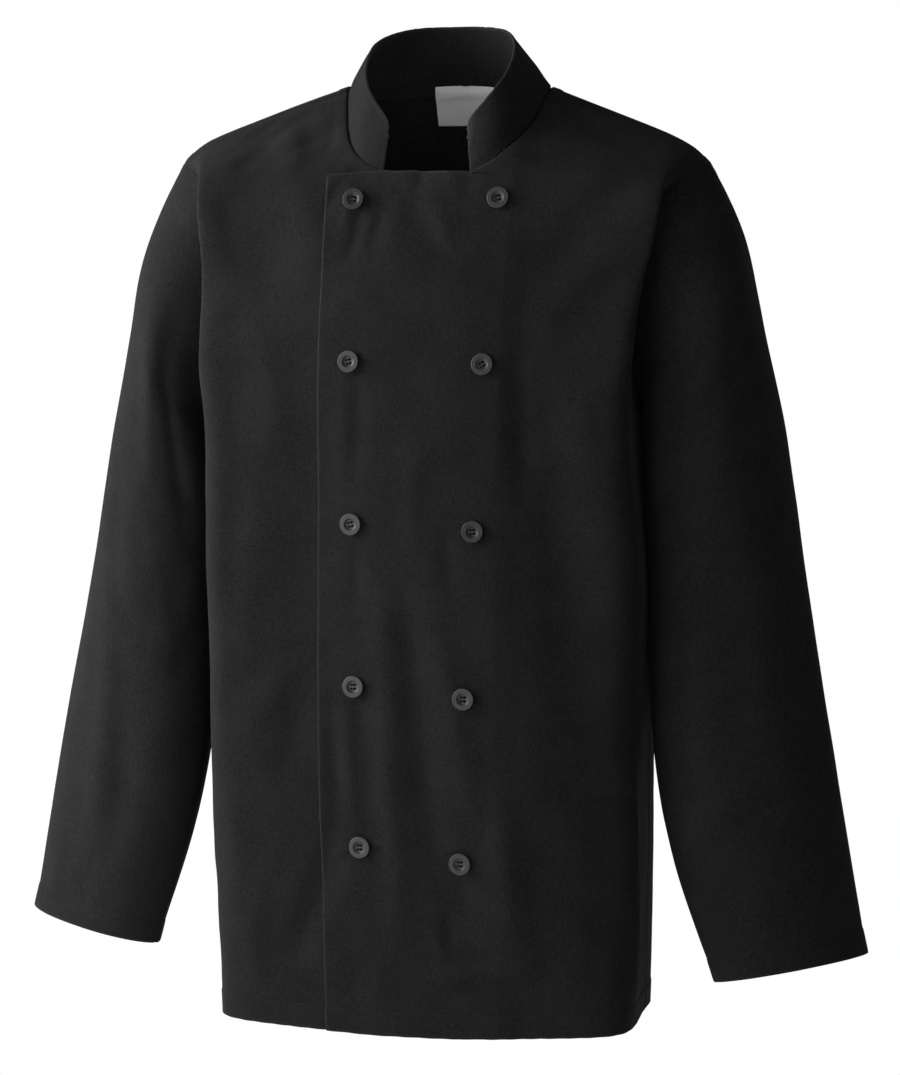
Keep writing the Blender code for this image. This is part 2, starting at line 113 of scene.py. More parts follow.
ARMHOLE = (
    # angle, x, y, z
    (0, 225, -6, -60),
    (28, 203, -33, -72),
    (50, 186, -44, -88),
    (92, 173, -44, -142),
    (138, 170, -30, -216),
    (180, 173, 0, -262),
    (222, 177, 32, -220),
    (268, 187, 46, -148),
    (310, 200, 40, -96),
    (332, 211, 24, -75),
)
FRONT_ROWS = (
    # along, seam z, armhole angle, middle z, neck angle, corner x, y, z, side pull, middle pull
    (0, -757, 180, -770, 25, 180, None, -764, 0.66, 0.50),
    (148, -616, 180, -622, 25, 184, None, -620, 0.66, 0.50),
    (288, -478, 180, -480, 25, 186, None, -480, 0.66, 0.52),
    (408, -360, 180, -360, 25, 190, None, -360, 0.68, 0.60),
    (506, -262, 180, -262, 25, 190, None, -262, 0.70, 0.72),
    (566, -262, 138, -200, 25, 193, None, -204, 0.78, 0.78),
    (642, -262, 92, -130, 25, 198, None, -132, 0.84, 0.78),
    (700, -262, 50, -65, 25, 203, -62, -78, 0.80, 0.70),
    (730, -262, 28, -65, 60, 205, -42, -58, 0.70, 0.55),
    (772, -262, 0, -65, 95, 206, -3, -40, 0.60, 0.50),
)
BACK_ROWS = (
    # the same columns
    (0, -757, 180, -770, 180, 158, None, -764, 0.55, 0.45),
    (148, -616, 180, -622, 180, 162, None, -620, 0.55, 0.45),
    (288, -478, 180, -480, 180, 168, None, -480, 0.55, 0.45),
    (408, -360, 180, -360, 180, 176, None, -360, 0.60, 0.45),
    (506, -262, 180, -262, 180, 181, None, -262, 0.60, 0.45),
    (566, -262, 222, -190, 180, 187, None, -196, 0.62, 0.44),
    (642, -262, 268, -100, 180, 193, None, -112, 0.62, 0.43),
    (700, -262, 310, -2, 180, 198, 55, -58, 0.58, 0.44),
    (730, -262, 332, -2, 130, 203, 30, -46, 0.60, 0.50),
    (772, -262, 360, -2, 95, 206, -3, -40, 0.60, 0.50),
)
UNDERARM_A = 506.0  # how far up the panels' rows the underarm, neck seam and shoulder seam lie
NECK_A = 700.0
TOP_A = 772.0
LEFT, RIGHT = 1, -1  # the wearer's sides
SLEEVE_AXIS = (0.25, 0, -1)
CUFF_RISE = {LEFT: -4.0, RIGHT: 6.0}
BODY_PRESS = {LEFT: 8.0, RIGHT: 0.0}  # how far a sleeve's inner side reaches towards the body
PRESS_PLACE = 1.6  # above 1, most of it lies below the sleeve's middle
SLEEVE_RINGS = (
    # along, outer x, outer y, outer z, inner x, inner y, inner z, half depth
    (0.10, 250, -6, -112, 191, -3, -277, 54),
    (0.22, 268, -1, -188, 190, -8, -324, 60),
    (0.36, 284, 3, -268, 190, -14, -378, 59),
    (0.54, 303, 3, -387, 193, -28, -464, 54),
    (0.76, 330, -2, -543, 203, -48, -587, 45),
    (1.00, 358, -6, -697, 241, -50, -719, 33),
)
SLEEVE_LENGTH = 640.0
COLLAR_TOP = (
    # angle, x, y, z
    (25, 33, -59, -41),
    (30, 35, -59, -25),
    (37, 40.5, -57, -14),
    (47, 49, -52, -3),
    (59, 56.5, -43, 8.5),
    (71, 61, -31, 20),
    (83, 62, -19, 31),
    (95, 59, -6, 39.5),
    (107, 54.5, 4.5, 44.5),
    (118, 49, 16, 48),
    (132, 40, 28, 51),
    (156, 20, 39.5, 52.8),
    (180, 0, 43, 53.2),
)

# --- How the cloth is made up ---------------------------------------------------------------------
THIN = 0.7  # one layer of cloth
FOLDED = 1.5  # a hem, or the front edge's facing
COLLAR_THICK = 2.2
HEM_DEPTH = 20.0  # the hem's stitches lie this far up
CUFF_DEPTH = 20.0
SLEEVE_DEGREE = 0.9  # one degree of a sleeve's girth, for its seam and hem
SLEEVE_WEAVE = 0.95  # and for its weave
COLLAR_STITCH = 2.6  # the groove along the collar's free edge
HEM_STEP = (18.5, 21.0)  # where the turned-up cloth of a hem ends
UNDERLAP_X = 73.0
LIFT_RUN_OUT = 21.0  # past the underlap's edge the left front comes down over this width
SKIRT_DRIFT = 2.5  # how far the skirt hangs to the wearer's left, at the hem
LEFT_CHEST_DRIFT = 10.5
RIGHT_CHEST_DRIFT = 4.0
ARM_REST = 7.5  # how far the left sleeve's inner side rests against the body
ARM_REST_FRONT = 7.0  # and its front inner corner, on top of that
RIGHT_ARM_FRONT = 3.0  # how much fuller the right sleeve's front inner corner is
NEAR_SEAM = (0.40, 0.75, 1.25, 2.0, 3.2, 5.0, 7.5)  # columns or rows beside a seam
NEAR_EDGE = (0.75, 1.1, 1.6, 2.4, 3.6, 5.5, 8.0)  # beside a free, folded edge
# Columns or rows of the meshes between those beside their edges.
FRONT_ACROSS, OVERLAP_ACROSS, BACK_ACROSS = 66, 34, 60
PANEL_UP, SHOULDER_UP = 214, 27
SLEEVE_ROUND, SLEEVE_DOWN = 120, 200
COLLAR_HALF, COLLAR_ROUND, COLLAR_UP = 121, 200, 22
NEAR_HEM = (0.75, 1.1, 1.7, 2.8, 4.5, 7, 10, 13, 16, 18.3, 19.3, 20, 20.7, 21.7, 24, 27)


# --- Curves ---------------------------------------------------------------------------------------
def natural(table):
    """Natural cubic spline through a table's rows, whose first column is the place."""
    rows = np.array(table, float)
    x, y = rows[:, 0], rows[:, 1:]
    gap = np.diff(x)
    slope = np.diff(y, axis=0) / gap[:, None]
    count = len(x)
    matrix = np.eye(count)
    right = np.zeros_like(y)
    for i in range(1, count - 1):
        matrix[i, i - 1 : i + 2] = gap[i - 1], 2 * (gap[i - 1] + gap[i]), gap[i]
        right[i] = 6 * (slope[i] - slope[i - 1])
    bend = np.linalg.solve(matrix, right)

    def at(places):
        places = np.asarray(places, float)
        i = np.clip(np.searchsorted(x, places, side="right") - 1, 0, count - 2)
        step = gap[i]
        a = ((x[i + 1] - places) / step)[..., None]
        b = ((places - x[i]) / step)[..., None]
        cubic = ((a**3 - a) * bend[i] + (b**3 - b) * bend[i + 1]) * (step**2)[..., None] / 6
        return a * y[i] + b * y[i + 1] + cubic

    return at


def steady(table, column, at):
    """One column of a table as a smooth curve that never runs past its rows' values."""
    x = np.array([row[0] for row in table], float)
    y = np.array([row[column] for row in table], float)
    gap = np.diff(x)
    slopes = np.diff(y) / gap
    tangent = np.concatenate([[slopes[0]], np.zeros(len(x) - 2), [slopes[-1]]])
    for k in range(1, len(x) - 1):
        before, after = slopes[k - 1], slopes[k]
        if before * after > 0:
            tangent[k] = 2 * before * after / (before + after)
    at = np.asarray(at, float)
    i = np.clip(np.searchsorted(x, at, side="right") - 1, 0, len(x) - 2)
    t = (at - x[i]) / gap[i]
    rise = y[i] * (2 * t**3 - 3 * t**2 + 1) + y[i + 1] * (3 * t**2 - 2 * t**3)
    lean = tangent[i] * (t**3 - 2 * t**2 + t) + tangent[i + 1] * (t**3 - t**2)
    return rise + lean * gap[i]


def ease(value, low, high):
    """0 at low, 1 at high, and smooth between them."""
    t = np.clip((value - low) / (high - low), 0.0, 1.0)
    return t * t * (3 - 2 * t)


def bell(distance, width):
    """1 in the middle of a soft bump, and 0 well beside it."""
    return np.exp(-((distance / width) ** 2))


def section(start, corner, end, start_pull, end_pull):
    """Curves from start towards the corner and on to the end, one for each row."""
    q1 = start + (corner - start) * start_pull[:, None]
    q3 = end + (corner - end) * end_pull[:, None]
    j1, j2 = (q1 + corner) / 2, (corner + q3) / 2
    joint = (j1 + j2) / 2
    t = np.linspace(0, 1, 81)[None, :, None]
    basis = ((1 - t) ** 3, 3 * (1 - t) ** 2 * t, 3 * (1 - t) * t * t, t**3)
    halves = []
    for points in ((start, q1, j1, joint), (joint, j2, q3, end)):
        halves.append(sum(b * p[:, None, :] for b, p in zip(basis, points)))
    return np.concatenate([halves[0], halves[1][:, 1:]], axis=1)


def lengths(line):
    return np.concatenate([[0], np.cumsum(np.linalg.norm(np.diff(line, axis=0), axis=1))])


def read_at(places, known, values):
    """Each column of values at places between the known ones."""
    return np.stack([np.interp(places, known, values[:, k]) for k in range(values.shape[1])], axis=1)


def at_lengths(line, places):
    return read_at(places, lengths(line), line)


def unit(vectors):
    return vectors / np.maximum(np.linalg.norm(vectors, axis=-1, keepdims=True), 1e-9)


def spaced(total, near_start, near_end, step_count):
    """Places along a total length: close together near both ends, and even between them."""
    near_end = [total - offset for offset in reversed(near_end)]
    between = np.linspace(near_start[-1], near_end[0], step_count + 1)[1:-1]
    return np.array([*near_start, *between, *near_end])


FRONT_CURVE, BACK_CURVE = natural(FRONT_MIDDLE), natural(BACK_MIDDLE)
SIDE_CURVE = natural(SIDE_SEAM)
FAR_NECK = [(360 - a, -x, y, z) for a, x, y, z in reversed(NECK_SEAM[:-1])]
neck_points = natural([*NECK_SEAM, *FAR_NECK])
COLLAR_CURVE = natural(COLLAR_TOP)
ARMHOLE_CURVE = natural([(row[0] + lap, *row[1:]) for lap in (-360, 0, 360) for row in ARMHOLE])


def armhole_points(angles):
    return ARMHOLE_CURVE(np.mod(angles, 360))


def side_points(z):
    return np.concatenate([SIDE_CURVE(z), np.asarray(z, float)[..., None]], axis=-1)


def front_middle(x, z):
    shape = FRONT_CURVE(z)
    return np.stack([x, shape[..., 1] * x * x - shape[..., 0], z], axis=-1)


def back_middle(x, z):
    return np.stack([x, BACK_CURVE(z)[..., 0], z], axis=-1)


def panel_lines(rows, along, middle_x, middle):
    """Each level of a half panel, from the side seam or armhole to the middle or neck seam."""
    seam_z, arm_angle, middle_z, neck_angle = (steady(rows, k, along) for k in (1, 2, 3, 4))
    below = (along < UNDERARM_A)[:, None]
    start = np.where(below, side_points(seam_z), armhole_points(arm_angle))
    on_neck = (along > NECK_A - 1e-6)[:, None]
    straight = np.full(len(along), middle_x)
    end = np.where(on_neck, neck_points(neck_angle), middle(straight, middle_z))
    corners = []
    for row in rows:
        x, y, z, side_pull, middle_pull = row[5:]
        if y is None:
            level = np.array([float(row[3])])
            near = middle(np.array([middle_x]), level)[0]
            beside = middle(np.array([middle_x + 1]), level)[0]
            y = near[1] + (beside[1] - near[1]) * (x - middle_x)
        corners.append((row[0], x, y, z, side_pull, middle_pull))
    values = natural(corners)(along)
    return section(start, values[:, :3], end, values[:, 3], values[:, 4])


def edge_x(z, over=True):
    """How far past the middle the overlap's edge lies, or the underlap's."""
    ends = (EDGE_HEM_X, EDGE_TOP_X) if over else (UNDERLAP_X, UNDERLAP_X)
    return np.interp(z, (HEM_Z, NECK_Z), ends)


# --- The panels' rows, with girth from the middle and length up from the hem --------------------------
def row_ends(total, wide, crowd):
    """Places across one row. Columns crowd at the neck seam, and spread out below it."""
    close = spaced(total, NEAR_SEAM, NEAR_SEAM, wide[0])
    loose = spaced(total, NEAR_SEAM, np.array(NEAR_SEAM) * wide[1], wide[0])
    loose[-1] = total
    return close * crowd + loose * (1 - crowd)


def front_grid(along, drop):
    """The left front's rows, from the side to the middle and on to its front edge: the points, and
    their girth from the middle. The underlap's top edge drops a little."""
    lines = panel_lines(FRONT_ROWS, along, COLLAR_END_X, front_middle)
    levels = steady(FRONT_ROWS, 3, along)
    dense = np.linspace(0, NECK_A, 701)
    dense_z = steady(FRONT_ROWS, 3, dense)
    dense_lines = panel_lines(FRONT_ROWS, dense, COLLAR_END_X, front_middle)
    mid_x = np.linspace(COLLAR_END_X, -COLLAR_END_X, 25)[1:-1]

    def past_middle(level, start):
        """From the half panel's end across the middle, and on along the mirrored half."""
        place = float(np.interp(level, dense_z, dense))
        low = int(min(place, len(dense) - 2))
        share = place - low
        other = dense_lines[low] * (1 - share) + dense_lines[low + 1] * share
        far = (other * (-1, 1, 1))[::-1]
        far = far[: int(np.argmin(far[:, 0])) + 1]
        centre = front_middle(mid_x, np.full(len(mid_x), level))
        return np.concatenate([other[-1:] if start is None else start, centre, far])

    points, girths = [], []
    for i, a in enumerate(along):
        line = lines[i]
        total = lengths(line)[-1]
        ends = row_ends(total, (FRONT_ACROSS, 3.2), float(ease(a, NECK_A - 60, NECK_A)))
        if a <= NECK_A:
            ends[-1] = total
        row = at_lengths(line, ends)
        z = float(levels[i])
        half = front_middle(mid_x, np.full(len(mid_x), z))
        start_girth = lengths(np.concatenate([[line[-1]], half[: len(half) // 2 + 1]]))[-1]
        girth = start_girth + (total - ends)
        if a <= NECK_A:
            lower = drop * max(0.0, (a - UNDERARM_A) / (NECK_A - UNDERARM_A))
            full = [past_middle(level, line[-1:] if level == z else None) for level in (z, z - lower)]
            count = min(len(full[0]), len(full[1]))
            upper, under = full[0][:count], full[1][:count]
            blend = ease(COLLAR_END_X - upper[:, 0], 0, 20)[:, None]
            path = upper * (1 - blend) + under * blend
            order = np.argsort(-path[:, 0], kind="stable")
            stop = float(np.interp(edge_x(z, drop == 0), -path[order][:, 0], lengths(path)[order]))
            places = spaced(stop, (0.0, 3.2), NEAR_EDGE, OVERLAP_ACROSS)[1:]
            row = np.concatenate([row, at_lengths(path, places)])
            girth = np.concatenate([girth, start_girth - places])
        points.append(row)
        girths.append(girth)
    return points, girths


def back_grid(along):
    """The back's left half, from the side to the middle or the neck seam."""
    lines = panel_lines(BACK_ROWS, along, 0.0, back_middle)
    points, girths = [], []
    for i, a in enumerate(along):
        total = lengths(lines[i])[-1]
        ends = row_ends(total, (BACK_ACROSS, 3.0), float(ease(a, NECK_A - 60, NECK_A + 4)))
        if a <= NECK_A:
            ends[-1] = total
        points.append(at_lengths(lines[i], ends))
        over_neck = float(ease(a, NECK_A, TOP_A)) * 85.0
        girths.append(total - ends + over_neck)
    return np.array(points), np.array(girths)


def sleeve_surface(angles, shares, side):
    """A left sleeve, with the rise and press of the given side's: rows run down it."""
    turn = np.radians(angles)
    tables = [armhole_points(angles)]
    for row in SLEEVE_RINGS:
        outer, inner, depth = np.array(row[1:4]), np.array(row[4:7], float), row[7]
        inner[0] -= BODY_PRESS[side] * math.sin(math.pi * row[0] ** PRESS_PLACE) ** 2
        middle, half = (outer + inner) / 2, (outer - inner) / 2
        forward = unit(np.cross(SLEEVE_AXIS, half))
        ring = middle + half * np.cos(turn)[:, None] + forward * depth * np.sin(turn)[:, None]
        tables.append(ring)
    places = [0.0, *[row[0] for row in SLEEVE_RINGS]]
    table = [(place, *ring.ravel()) for place, ring in zip(places, tables)]
    grid = natural(table)(shares).reshape(len(shares), len(angles), 3)
    grid[..., 2] += CUFF_RISE[side] * (shares**2)[:, None]
    return grid


# --- Folds ------------------------------------------------------------------------------------------
def soft_noise(u, v, size_u, size_v, seed):
    """Smooth noise from -1 to 1, one bump to each size."""
    draw = np.random.default_rng(seed)
    x, y = u / size_u + 50.0, v / size_v + 50.0
    lattice = draw.uniform(-1, 1, (220, 220))
    i, j = np.floor(x).astype(int) % 218, np.floor(y).astype(int) % 218
    fx, fy = x - np.floor(x), y - np.floor(y)
    fx, fy = fx * fx * fx * (fx * (fx * 6 - 15) + 10), fy * fy * fy * (fy * (fy * 6 - 15) + 10)
    low = lattice[i, j] * (1 - fx) + lattice[i + 1, j] * fx
    high = lattice[i, j + 1] * (1 - fx) + lattice[i + 1, j + 1] * fx
    return low * (1 - fy) + high * fy


def fold_field(u, v, folds):
    """The sum of soft ridges (height above 0) and troughs (below 0) along smooth paths."""
    total = np.zeros(len(u))
    for height, width, *path in folds:
        path = np.array(path, float)
        place = np.arange(len(path), dtype=float)
        curve = natural(np.column_stack([place, path])) if len(path) > 2 else None
        count = max(8, int(np.sum(np.linalg.norm(np.diff(path, axis=0), axis=1)) / 5))
        t = np.linspace(0, len(path) - 1, count)
        line = curve(t) if curve else path[0] + (path[1] - path[0]) * t[:, None]
        reach = width * 3.2
        near = (u > line[:, 0].min() - reach) & (u < line[:, 0].max() + reach)
        near &= (v > line[:, 1].min() - reach) & (v < line[:, 1].max() + reach)
        if not near.any():
            continue
        here = np.stack([u[near], v[near]], axis=1)
        best = np.full(len(here), 1e9)
        share = np.zeros(len(here))
        for k in range(len(line) - 1):
            start, run = line[k], line[k + 1] - line[k]
            s = np.clip(((here - start) @ run) / (run @ run), 0, 1)
            gap = np.linalg.norm(here - start - s[:, None] * run, axis=1)
            closer = gap < best
            best = np.where(closer, gap, best)
            share = np.where(closer, (k + s) / (len(line) - 1), share)
        taper = np.sin(math.pi * np.clip(share, 0.0, 1.0)) ** 0.8
        across = bell(best, width) - 0.3 * bell(best, 2 * width)
        total[near] += height * taper * across / 0.7
    return total


FRONT_FOLDS = (
    # height, width, (girth, along) ...
    (-2.0, 6, (-133, 756), (-108, 742), (-90, 728)),
    (1.8, 6, (-150, 760), (-122, 748), (-99, 735)),
    (-1.8, 7, (-176, 766), (-135, 750), (-90, 721)),
    (-2.2, 13, (-200, 764), (-163, 743), (-146, 716)),
    (1.6, 12, (-189, 766), (-143, 743), (-110, 711)),
    (-1.3, 8, (84, 728), (108, 722), (146, 730)),
    (1.1, 8, (112, 748), (134, 750), (160, 756)),
    (3.0, 14, (-23, 376), (-19, 295), (-16, 213), (-11, 132), (-13, 47)),
    (-2.5, 13, (-6, 376), (1, 319), (10, 246), (19, 181), (28, 128), (34, 75)),
    (2.3, 13, (23, 352), (36, 287), (50, 213), (55, 169)),
    (4.0, 17, (75, 218), (83, 157), (88, 92), (88, 47)),
    (-2.2, 11, (41, 157), (45, 112), (48, 67)),
    (1.2, 8, (-55, 283), (-50, 230), (-46, 169)),
    (-1.6, 8, (-66, 287), (-64, 222), (-61, 165)),
    (-0.7, 6, (-43, 283), (-39, 250)),
    (-0.8, 7, (-47, 545), (-46, 498), (-48, 441)),
    (0.6, 8, (-60, 545), (-59, 490), (-60, 437)),
    (-0.8, 7, (-46, 412), (-45, 376), (-47, 342)),
    (1.0, 9, (9, 490), (3, 441), (6, 392)),
    (-1.3, 8, (26, 425), (33, 388), (31, 360)),
    (1.3, 4.5, (-73, 142), (-60, 150), (-50, 157)),
    (-0.9, 5, (-66, 129), (-54, 139)),
    (1.4, 13, (-154, 400), (-124, 406), (-76, 401)),
    (3.2, 14, (-176, 604), (-174, 522), (-171, 441), (-169, 360), (-166, 279), (-163, 197)),
    (-2.4, 28, (-90, 522), (-90, 441), (-98, 360), (-100, 279), (-90, 197)),
    (-3.4, 56, (-76, 522), (-76, 441), (-75, 344), (-73, 262), (-70, 181), (-66, 116)),
    (-0.9, 13, (-124, 376), (-127, 327), (-129, 287)),
    (1.0, 12, (-149, 222), (-124, 269), (-92, 308), (-78, 327)),
    (-1.0, 11, (-117, 197), (-100, 243), (-82, 279)),
    (-2.8, 13, (-63, 189), (-73, 132), (-93, 83), (-110, 39)),
    (2.4, 13, (-129, 132), (-135, 92), (-137, 63), (-134, 31)),
    (1.6, 12, (-157, 213), (-152, 132), (-154, 43)),
    (-3.4, 28, (-166, 726), (-155, 685), (-142, 644), (-124, 594)),
    (1.3, 15, (-124, 708), (-100, 666), (-80, 630)),
    (-1.0, 11, (-172, 693), (-167, 659), (-154, 618)),
    (1.0, 11, (-145, 579), (-124, 539), (-117, 482)),
    (-0.4, 14, (-100, 571), (-95, 522), (-102, 466)),
    (-1.6, 19, (181, 705), (152, 677), (125, 644), (90, 600)),
    (0.9, 17, (196, 680), (166, 651), (135, 612), (107, 574)),
    (-0.7, 14, (187, 641), (161, 613), (129, 576)),
    (0.8, 13, (154, 718), (125, 688), (95, 656)),
    (-8.6, 37, (107, 587), (113, 506), (124, 441), (137, 360), (149, 279), (159, 205), (162, 116),
     (162, 27)),
    (-1.5, 11, (88, 574), (93, 498), (100, 425)),
    (5.2, 16, (195, 242), (197, 157), (198, 75), (198, 6)),
    (1.6, 13, (187, 604), (182, 547), (184, 482), (189, 392), (194, 311)),
    (-1.6, 8, (152, 197), (171, 201), (194, 197)),
    (-0.8, 16, (152, 197), (157, 132), (161, 35)),
    (3.2, 56, (73, 392), (76, 279), (79, 197), (81, 116), (81, 27)),
    (1.2, 8, (19, 711), (21, 693), (23, 679)),
    (-1.4, 6, (-1, 711), (-3, 692), (-6, 675)),
    (1.2, 6, (-14, 709), (-19, 688)),
    (-1.4, 6, (36, 711), (36, 692), (39, 674)),
    (0.9, 5, (48, 711), (50, 693)),
    (-1.1, 9, (-16, 675), (3, 656), (26, 638)),
    (0.9, 8, (3, 683), (18, 659), (29, 644)),
    (-1.1, 7, (-34, 679), (-38, 656), (-43, 638)),
    (0.7, 8, (-21, 677), (-21, 659), (-24, 643)),
    (-1.4, 6, (-51, 675), (-56, 653), (-60, 630)),
    (1.1, 6, (-60, 680), (-66, 656)),
    (-1.1, 5, (-66, 693), (-76, 680), (-87, 659)),
    (1.2, 5, (-51, 729), (-60, 719), (-70, 713)),
    (-1.2, 5, (-48, 716), (-58, 708), (-70, 703)),
    (2.2, 8, (13, 48), (51, 54), (100, 49)),
    (-1.9, 6, (16, 36), (60, 41), (102, 36)),
    (1.3, 7, (14, 96), (23, 77), (28, 62)),
    (-1.3, 7, (28, 116), (33, 92), (31, 75)),
    (1.0, 9, (-31, 67), (-28, 43), (-31, 25)),
    (-1.0, 9, (-53, 75), (-50, 47), (-53, 27)),
    (1.0, 9, (124, 63), (127, 39)),
    (-0.9, 9, (150, 67), (154, 43)),
)


def front_field(g, a):
    field = fold_field(g, a, FRONT_FOLDS)
    field += 0.8 * soft_noise(g, a, 62, 150, 11) + 0.34 * soft_noise(g, a, 24, 48, 12)
    field += 0.45 * soft_noise(g + 0.4 * a, a - 0.2 * g, 34, 30, 14) + 0.11 * soft_noise(g, a, 9, 14, 13)
    # The shoulder by the shorter end of the collar is more rumpled.
    field += 0.7 * soft_noise(g, a, 15, 20, 17) * ease(a, 680, 725) * ease(-g, 40, 80)
    return field


BACK_FOLDS = (
    (2.6, 16, (-62, 560), (-66, 440), (-58, 320), (-64, 190), (-60, 60)),
    (-2.4, 15, (-34, 520), (-30, 380), (-36, 240), (-28, 110)),
    (2.2, 15, (58, 590), (50, 450), (60, 300), (52, 150)),
    (-2.6, 16, (86, 540), (92, 400), (84, 250), (92, 90)),
    (1.8, 13, (10, 420), (16, 300), (8, 160), (14, 50)),
    (-2.0, 14, (-104, 480), (-98, 330), (-106, 180), (-100, 50)),
    (2.2, 14, (124, 440), (118, 300), (126, 150)),
    (2.0, 13, (-134, 420), (-140, 280), (-132, 130)),
    (-2.2, 11, (-150, 640), (-116, 604), (-80, 574)),
    (1.8, 11, (-152, 606), (-120, 578), (-88, 540)),
    (-2.0, 10, (154, 650), (118, 618), (84, 584)),
    (1.9, 11, (150, 614), (116, 590), (78, 556)),
    (-1.4, 9, (-120, 700), (-90, 676), (-52, 662)),
    (1.2, 9, (104, 706), (74, 684), (40, 672)),
    (1.6, 9, (-84, 372), (-30, 358), (22, 366), (66, 354)),
    (-1.8, 9, (-70, 346), (-16, 336), (40, 344), (88, 330)),
    (1.2, 8, (-30, 318), (20, 312), (62, 320)),
    (-1.0, 7, (-20, 640), (0, 622), (26, 634)),
    (1.0, 10, (0, 690), (-2, 650), (3, 600)),
    (0.8, 7, (-40, 90), (-46, 60), (-42, 34)),
    (-0.9, 8, (34, 96), (38, 62), (34, 36)),
)


def back_field(g, a):
    field = fold_field(g, a, BACK_FOLDS)
    field += 1.1 * soft_noise(g, a, 66, 150, 31) + 0.4 * soft_noise(g, a, 26, 50, 32)
    return field + 0.10 * soft_noise(g, a, 9, 14, 33)


SLEEVE_BACK_FOLDS = (
    # height, width, (round from the shoulder's tip over the front, down from the armhole) ...
    (1.4, 14, (-40, 90), (-50, 240), (-46, 400), (-54, 560)),
    (-2.0, 14, (-76, 120), (-86, 280), (-82, 420), (-90, 570)),
    (1.8, 13, (-116, 140), (-124, 300), (-118, 460)),
    (-1.6, 10, (-150, 250), (-128, 300), (-96, 330)),
    (1.5, 10, (-152, 300), (-126, 346), (-92, 372)),
    (-1.4, 9, (-150, 350), (-124, 392), (-96, 414)),
)
RIGHT_SLEEVE_FOLDS = SLEEVE_BACK_FOLDS + (
    (2.0, 11, (66, 330), (80, 400), (90, 503), (92, 592)),
    (-1.9, 12, (94, 392), (108, 495), (112, 590)),
    (1.2, 12, (110, 262), (128, 376), (140, 480)),
    (-2.3, 11, (92, 40), (106, 120), (124, 195), (138, 262)),
    (1.5, 12, (72, 60), (84, 160), (100, 236)),
    (3.4, 22, (146, 70), (150, 150), (156, 250), (160, 370), (162, 460)),
    (-0.9, 10, (60, 230), (72, 300), (78, 350)),
    (1.0, 11, (152, 260), (142, 330), (124, 380)),
    (-1.1, 10, (158, 320), (142, 372), (120, 408)),
    (-1.0, 12, (146, 56), (118, 92), (92, 124)),
    (0.9, 10, (138, 92), (112, 126), (88, 166)),
    (-1.2, 13, (18, 110), (26, 260), (36, 420), (44, 560)),
    (0.8, 8, (60, 560), (64, 600), (60, 632)),
    (-0.8, 8, (98, 556), (94, 600), (98, 634)),
)
LEFT_SLEEVE_FOLDS = SLEEVE_BACK_FOLDS + (
    (1.1, 13, (92, 40), (98, 140), (110, 254), (112, 380), (114, 480), (108, 590)),
    (-0.9, 12, (132, 250), (138, 360), (134, 470)),
    (-0.9, 13, (70, 150), (84, 284), (88, 382), (90, 500)),
    (-1.2, 15, (46, 90), (50, 190), (56, 300)),
    (0.9, 13, (60, 330), (66, 430), (64, 560)),
    (0.9, 11, (152, 290), (140, 344), (120, 392)),
    (-1.0, 10, (158, 336), (142, 386), (118, 422)),
    (-0.9, 12, (136, 60), (112, 96), (88, 130)),
    (-1.0, 13, (16, 110), (24, 260), (34, 420), (42, 560)),
    (0.7, 8, (58, 566), (62, 604), (58, 634)),
    (-0.8, 8, (94, 560), (90, 604), (94, 636)),
)
SLEEVE_FOLDS = {LEFT: (LEFT_SLEEVE_FOLDS, 41), RIGHT: (RIGHT_SLEEVE_FOLDS, 51)}  # and a seed


def sleeve_field(degrees, down, folds, seed):
    field = np.zeros(len(degrees))
    for turn in (-360, 0, 360):
        field += fold_field(degrees + turn, down, folds)
    around = np.radians(degrees)
    ripple = soft_noise(70 * np.cos(around) + 7 * np.sin(around), down, 34, 120, seed)
    ripple += soft_noise(70 * np.sin(around) - 5 * np.cos(around), down, 34, 120, seed + 1)
    fine = soft_noise(60 * np.cos(around) + 60 * np.sin(around), down, 14, 34, seed + 2)
    return field + 0.6 * ripple + 0.25 * fine


def hang(points):
    """The skirt hangs a little to the wearer's left."""
    return points + ease(-points[:, 2], 520, 720)[:, None] * np.array((SKIRT_DRIFT, 0, 0))


def chest_drift(points):
    """The chest's front sits to the wearer's right of the even cut. It works on all the cloth
    that meets at the armholes, so that the seams stay closed."""
    x, y, z = points[:, 0], points[:, 1], points[:, 2]
    front = ease(-y, -15, 45)
    left = ease(-z, 85, 185) * (1 - ease(-z, 255, 425)) * ease(x, 45, 165) * (1 - ease(x, 196, 250))
    right = bell(z + 228, 42) * ease(-x, 150, 185) * (1 - ease(-x, 200, 250))
    shift = -(LEFT_CHEST_DRIFT * left + RIGHT_CHEST_DRIFT * right) * front
    return points + shift[:, None] * np.array((1.0, 0, 0))


# --- Meshes -----------------------------------------------------------------------------------------
def linked(name, data):
    item = bpy.data.objects.new(name, data)
    bpy.context.scene.collection.objects.link(item)
    return item


def make_mesh(name, points, quads, attributes=()):
    """A smooth mesh of quads, points in millimetres. Attributes are (name, kind, values)."""
    data = bpy.data.meshes.new(name)
    data.vertices.add(len(points))
    data.vertices.foreach_set("co", (np.asarray(points) * MM).ravel())
    quads = np.asarray(quads, np.int32)
    data.loops.add(quads.size)
    data.loops.foreach_set("vertex_index", quads.ravel())
    data.polygons.add(len(quads))
    data.polygons.foreach_set("loop_start", np.arange(len(quads), dtype=np.int32) * quads.shape[1])
    data.polygons.foreach_set("use_smooth", np.ones(len(quads), bool))
    for label, kind, values in attributes:
        layer = data.attributes.new(label, kind, "POINT")
        layer.data.foreach_set("vector" if kind == "FLOAT_VECTOR" else "value", np.ravel(values))
    data.update(calc_edges=True)
    data.validate()
    return linked(name, data)


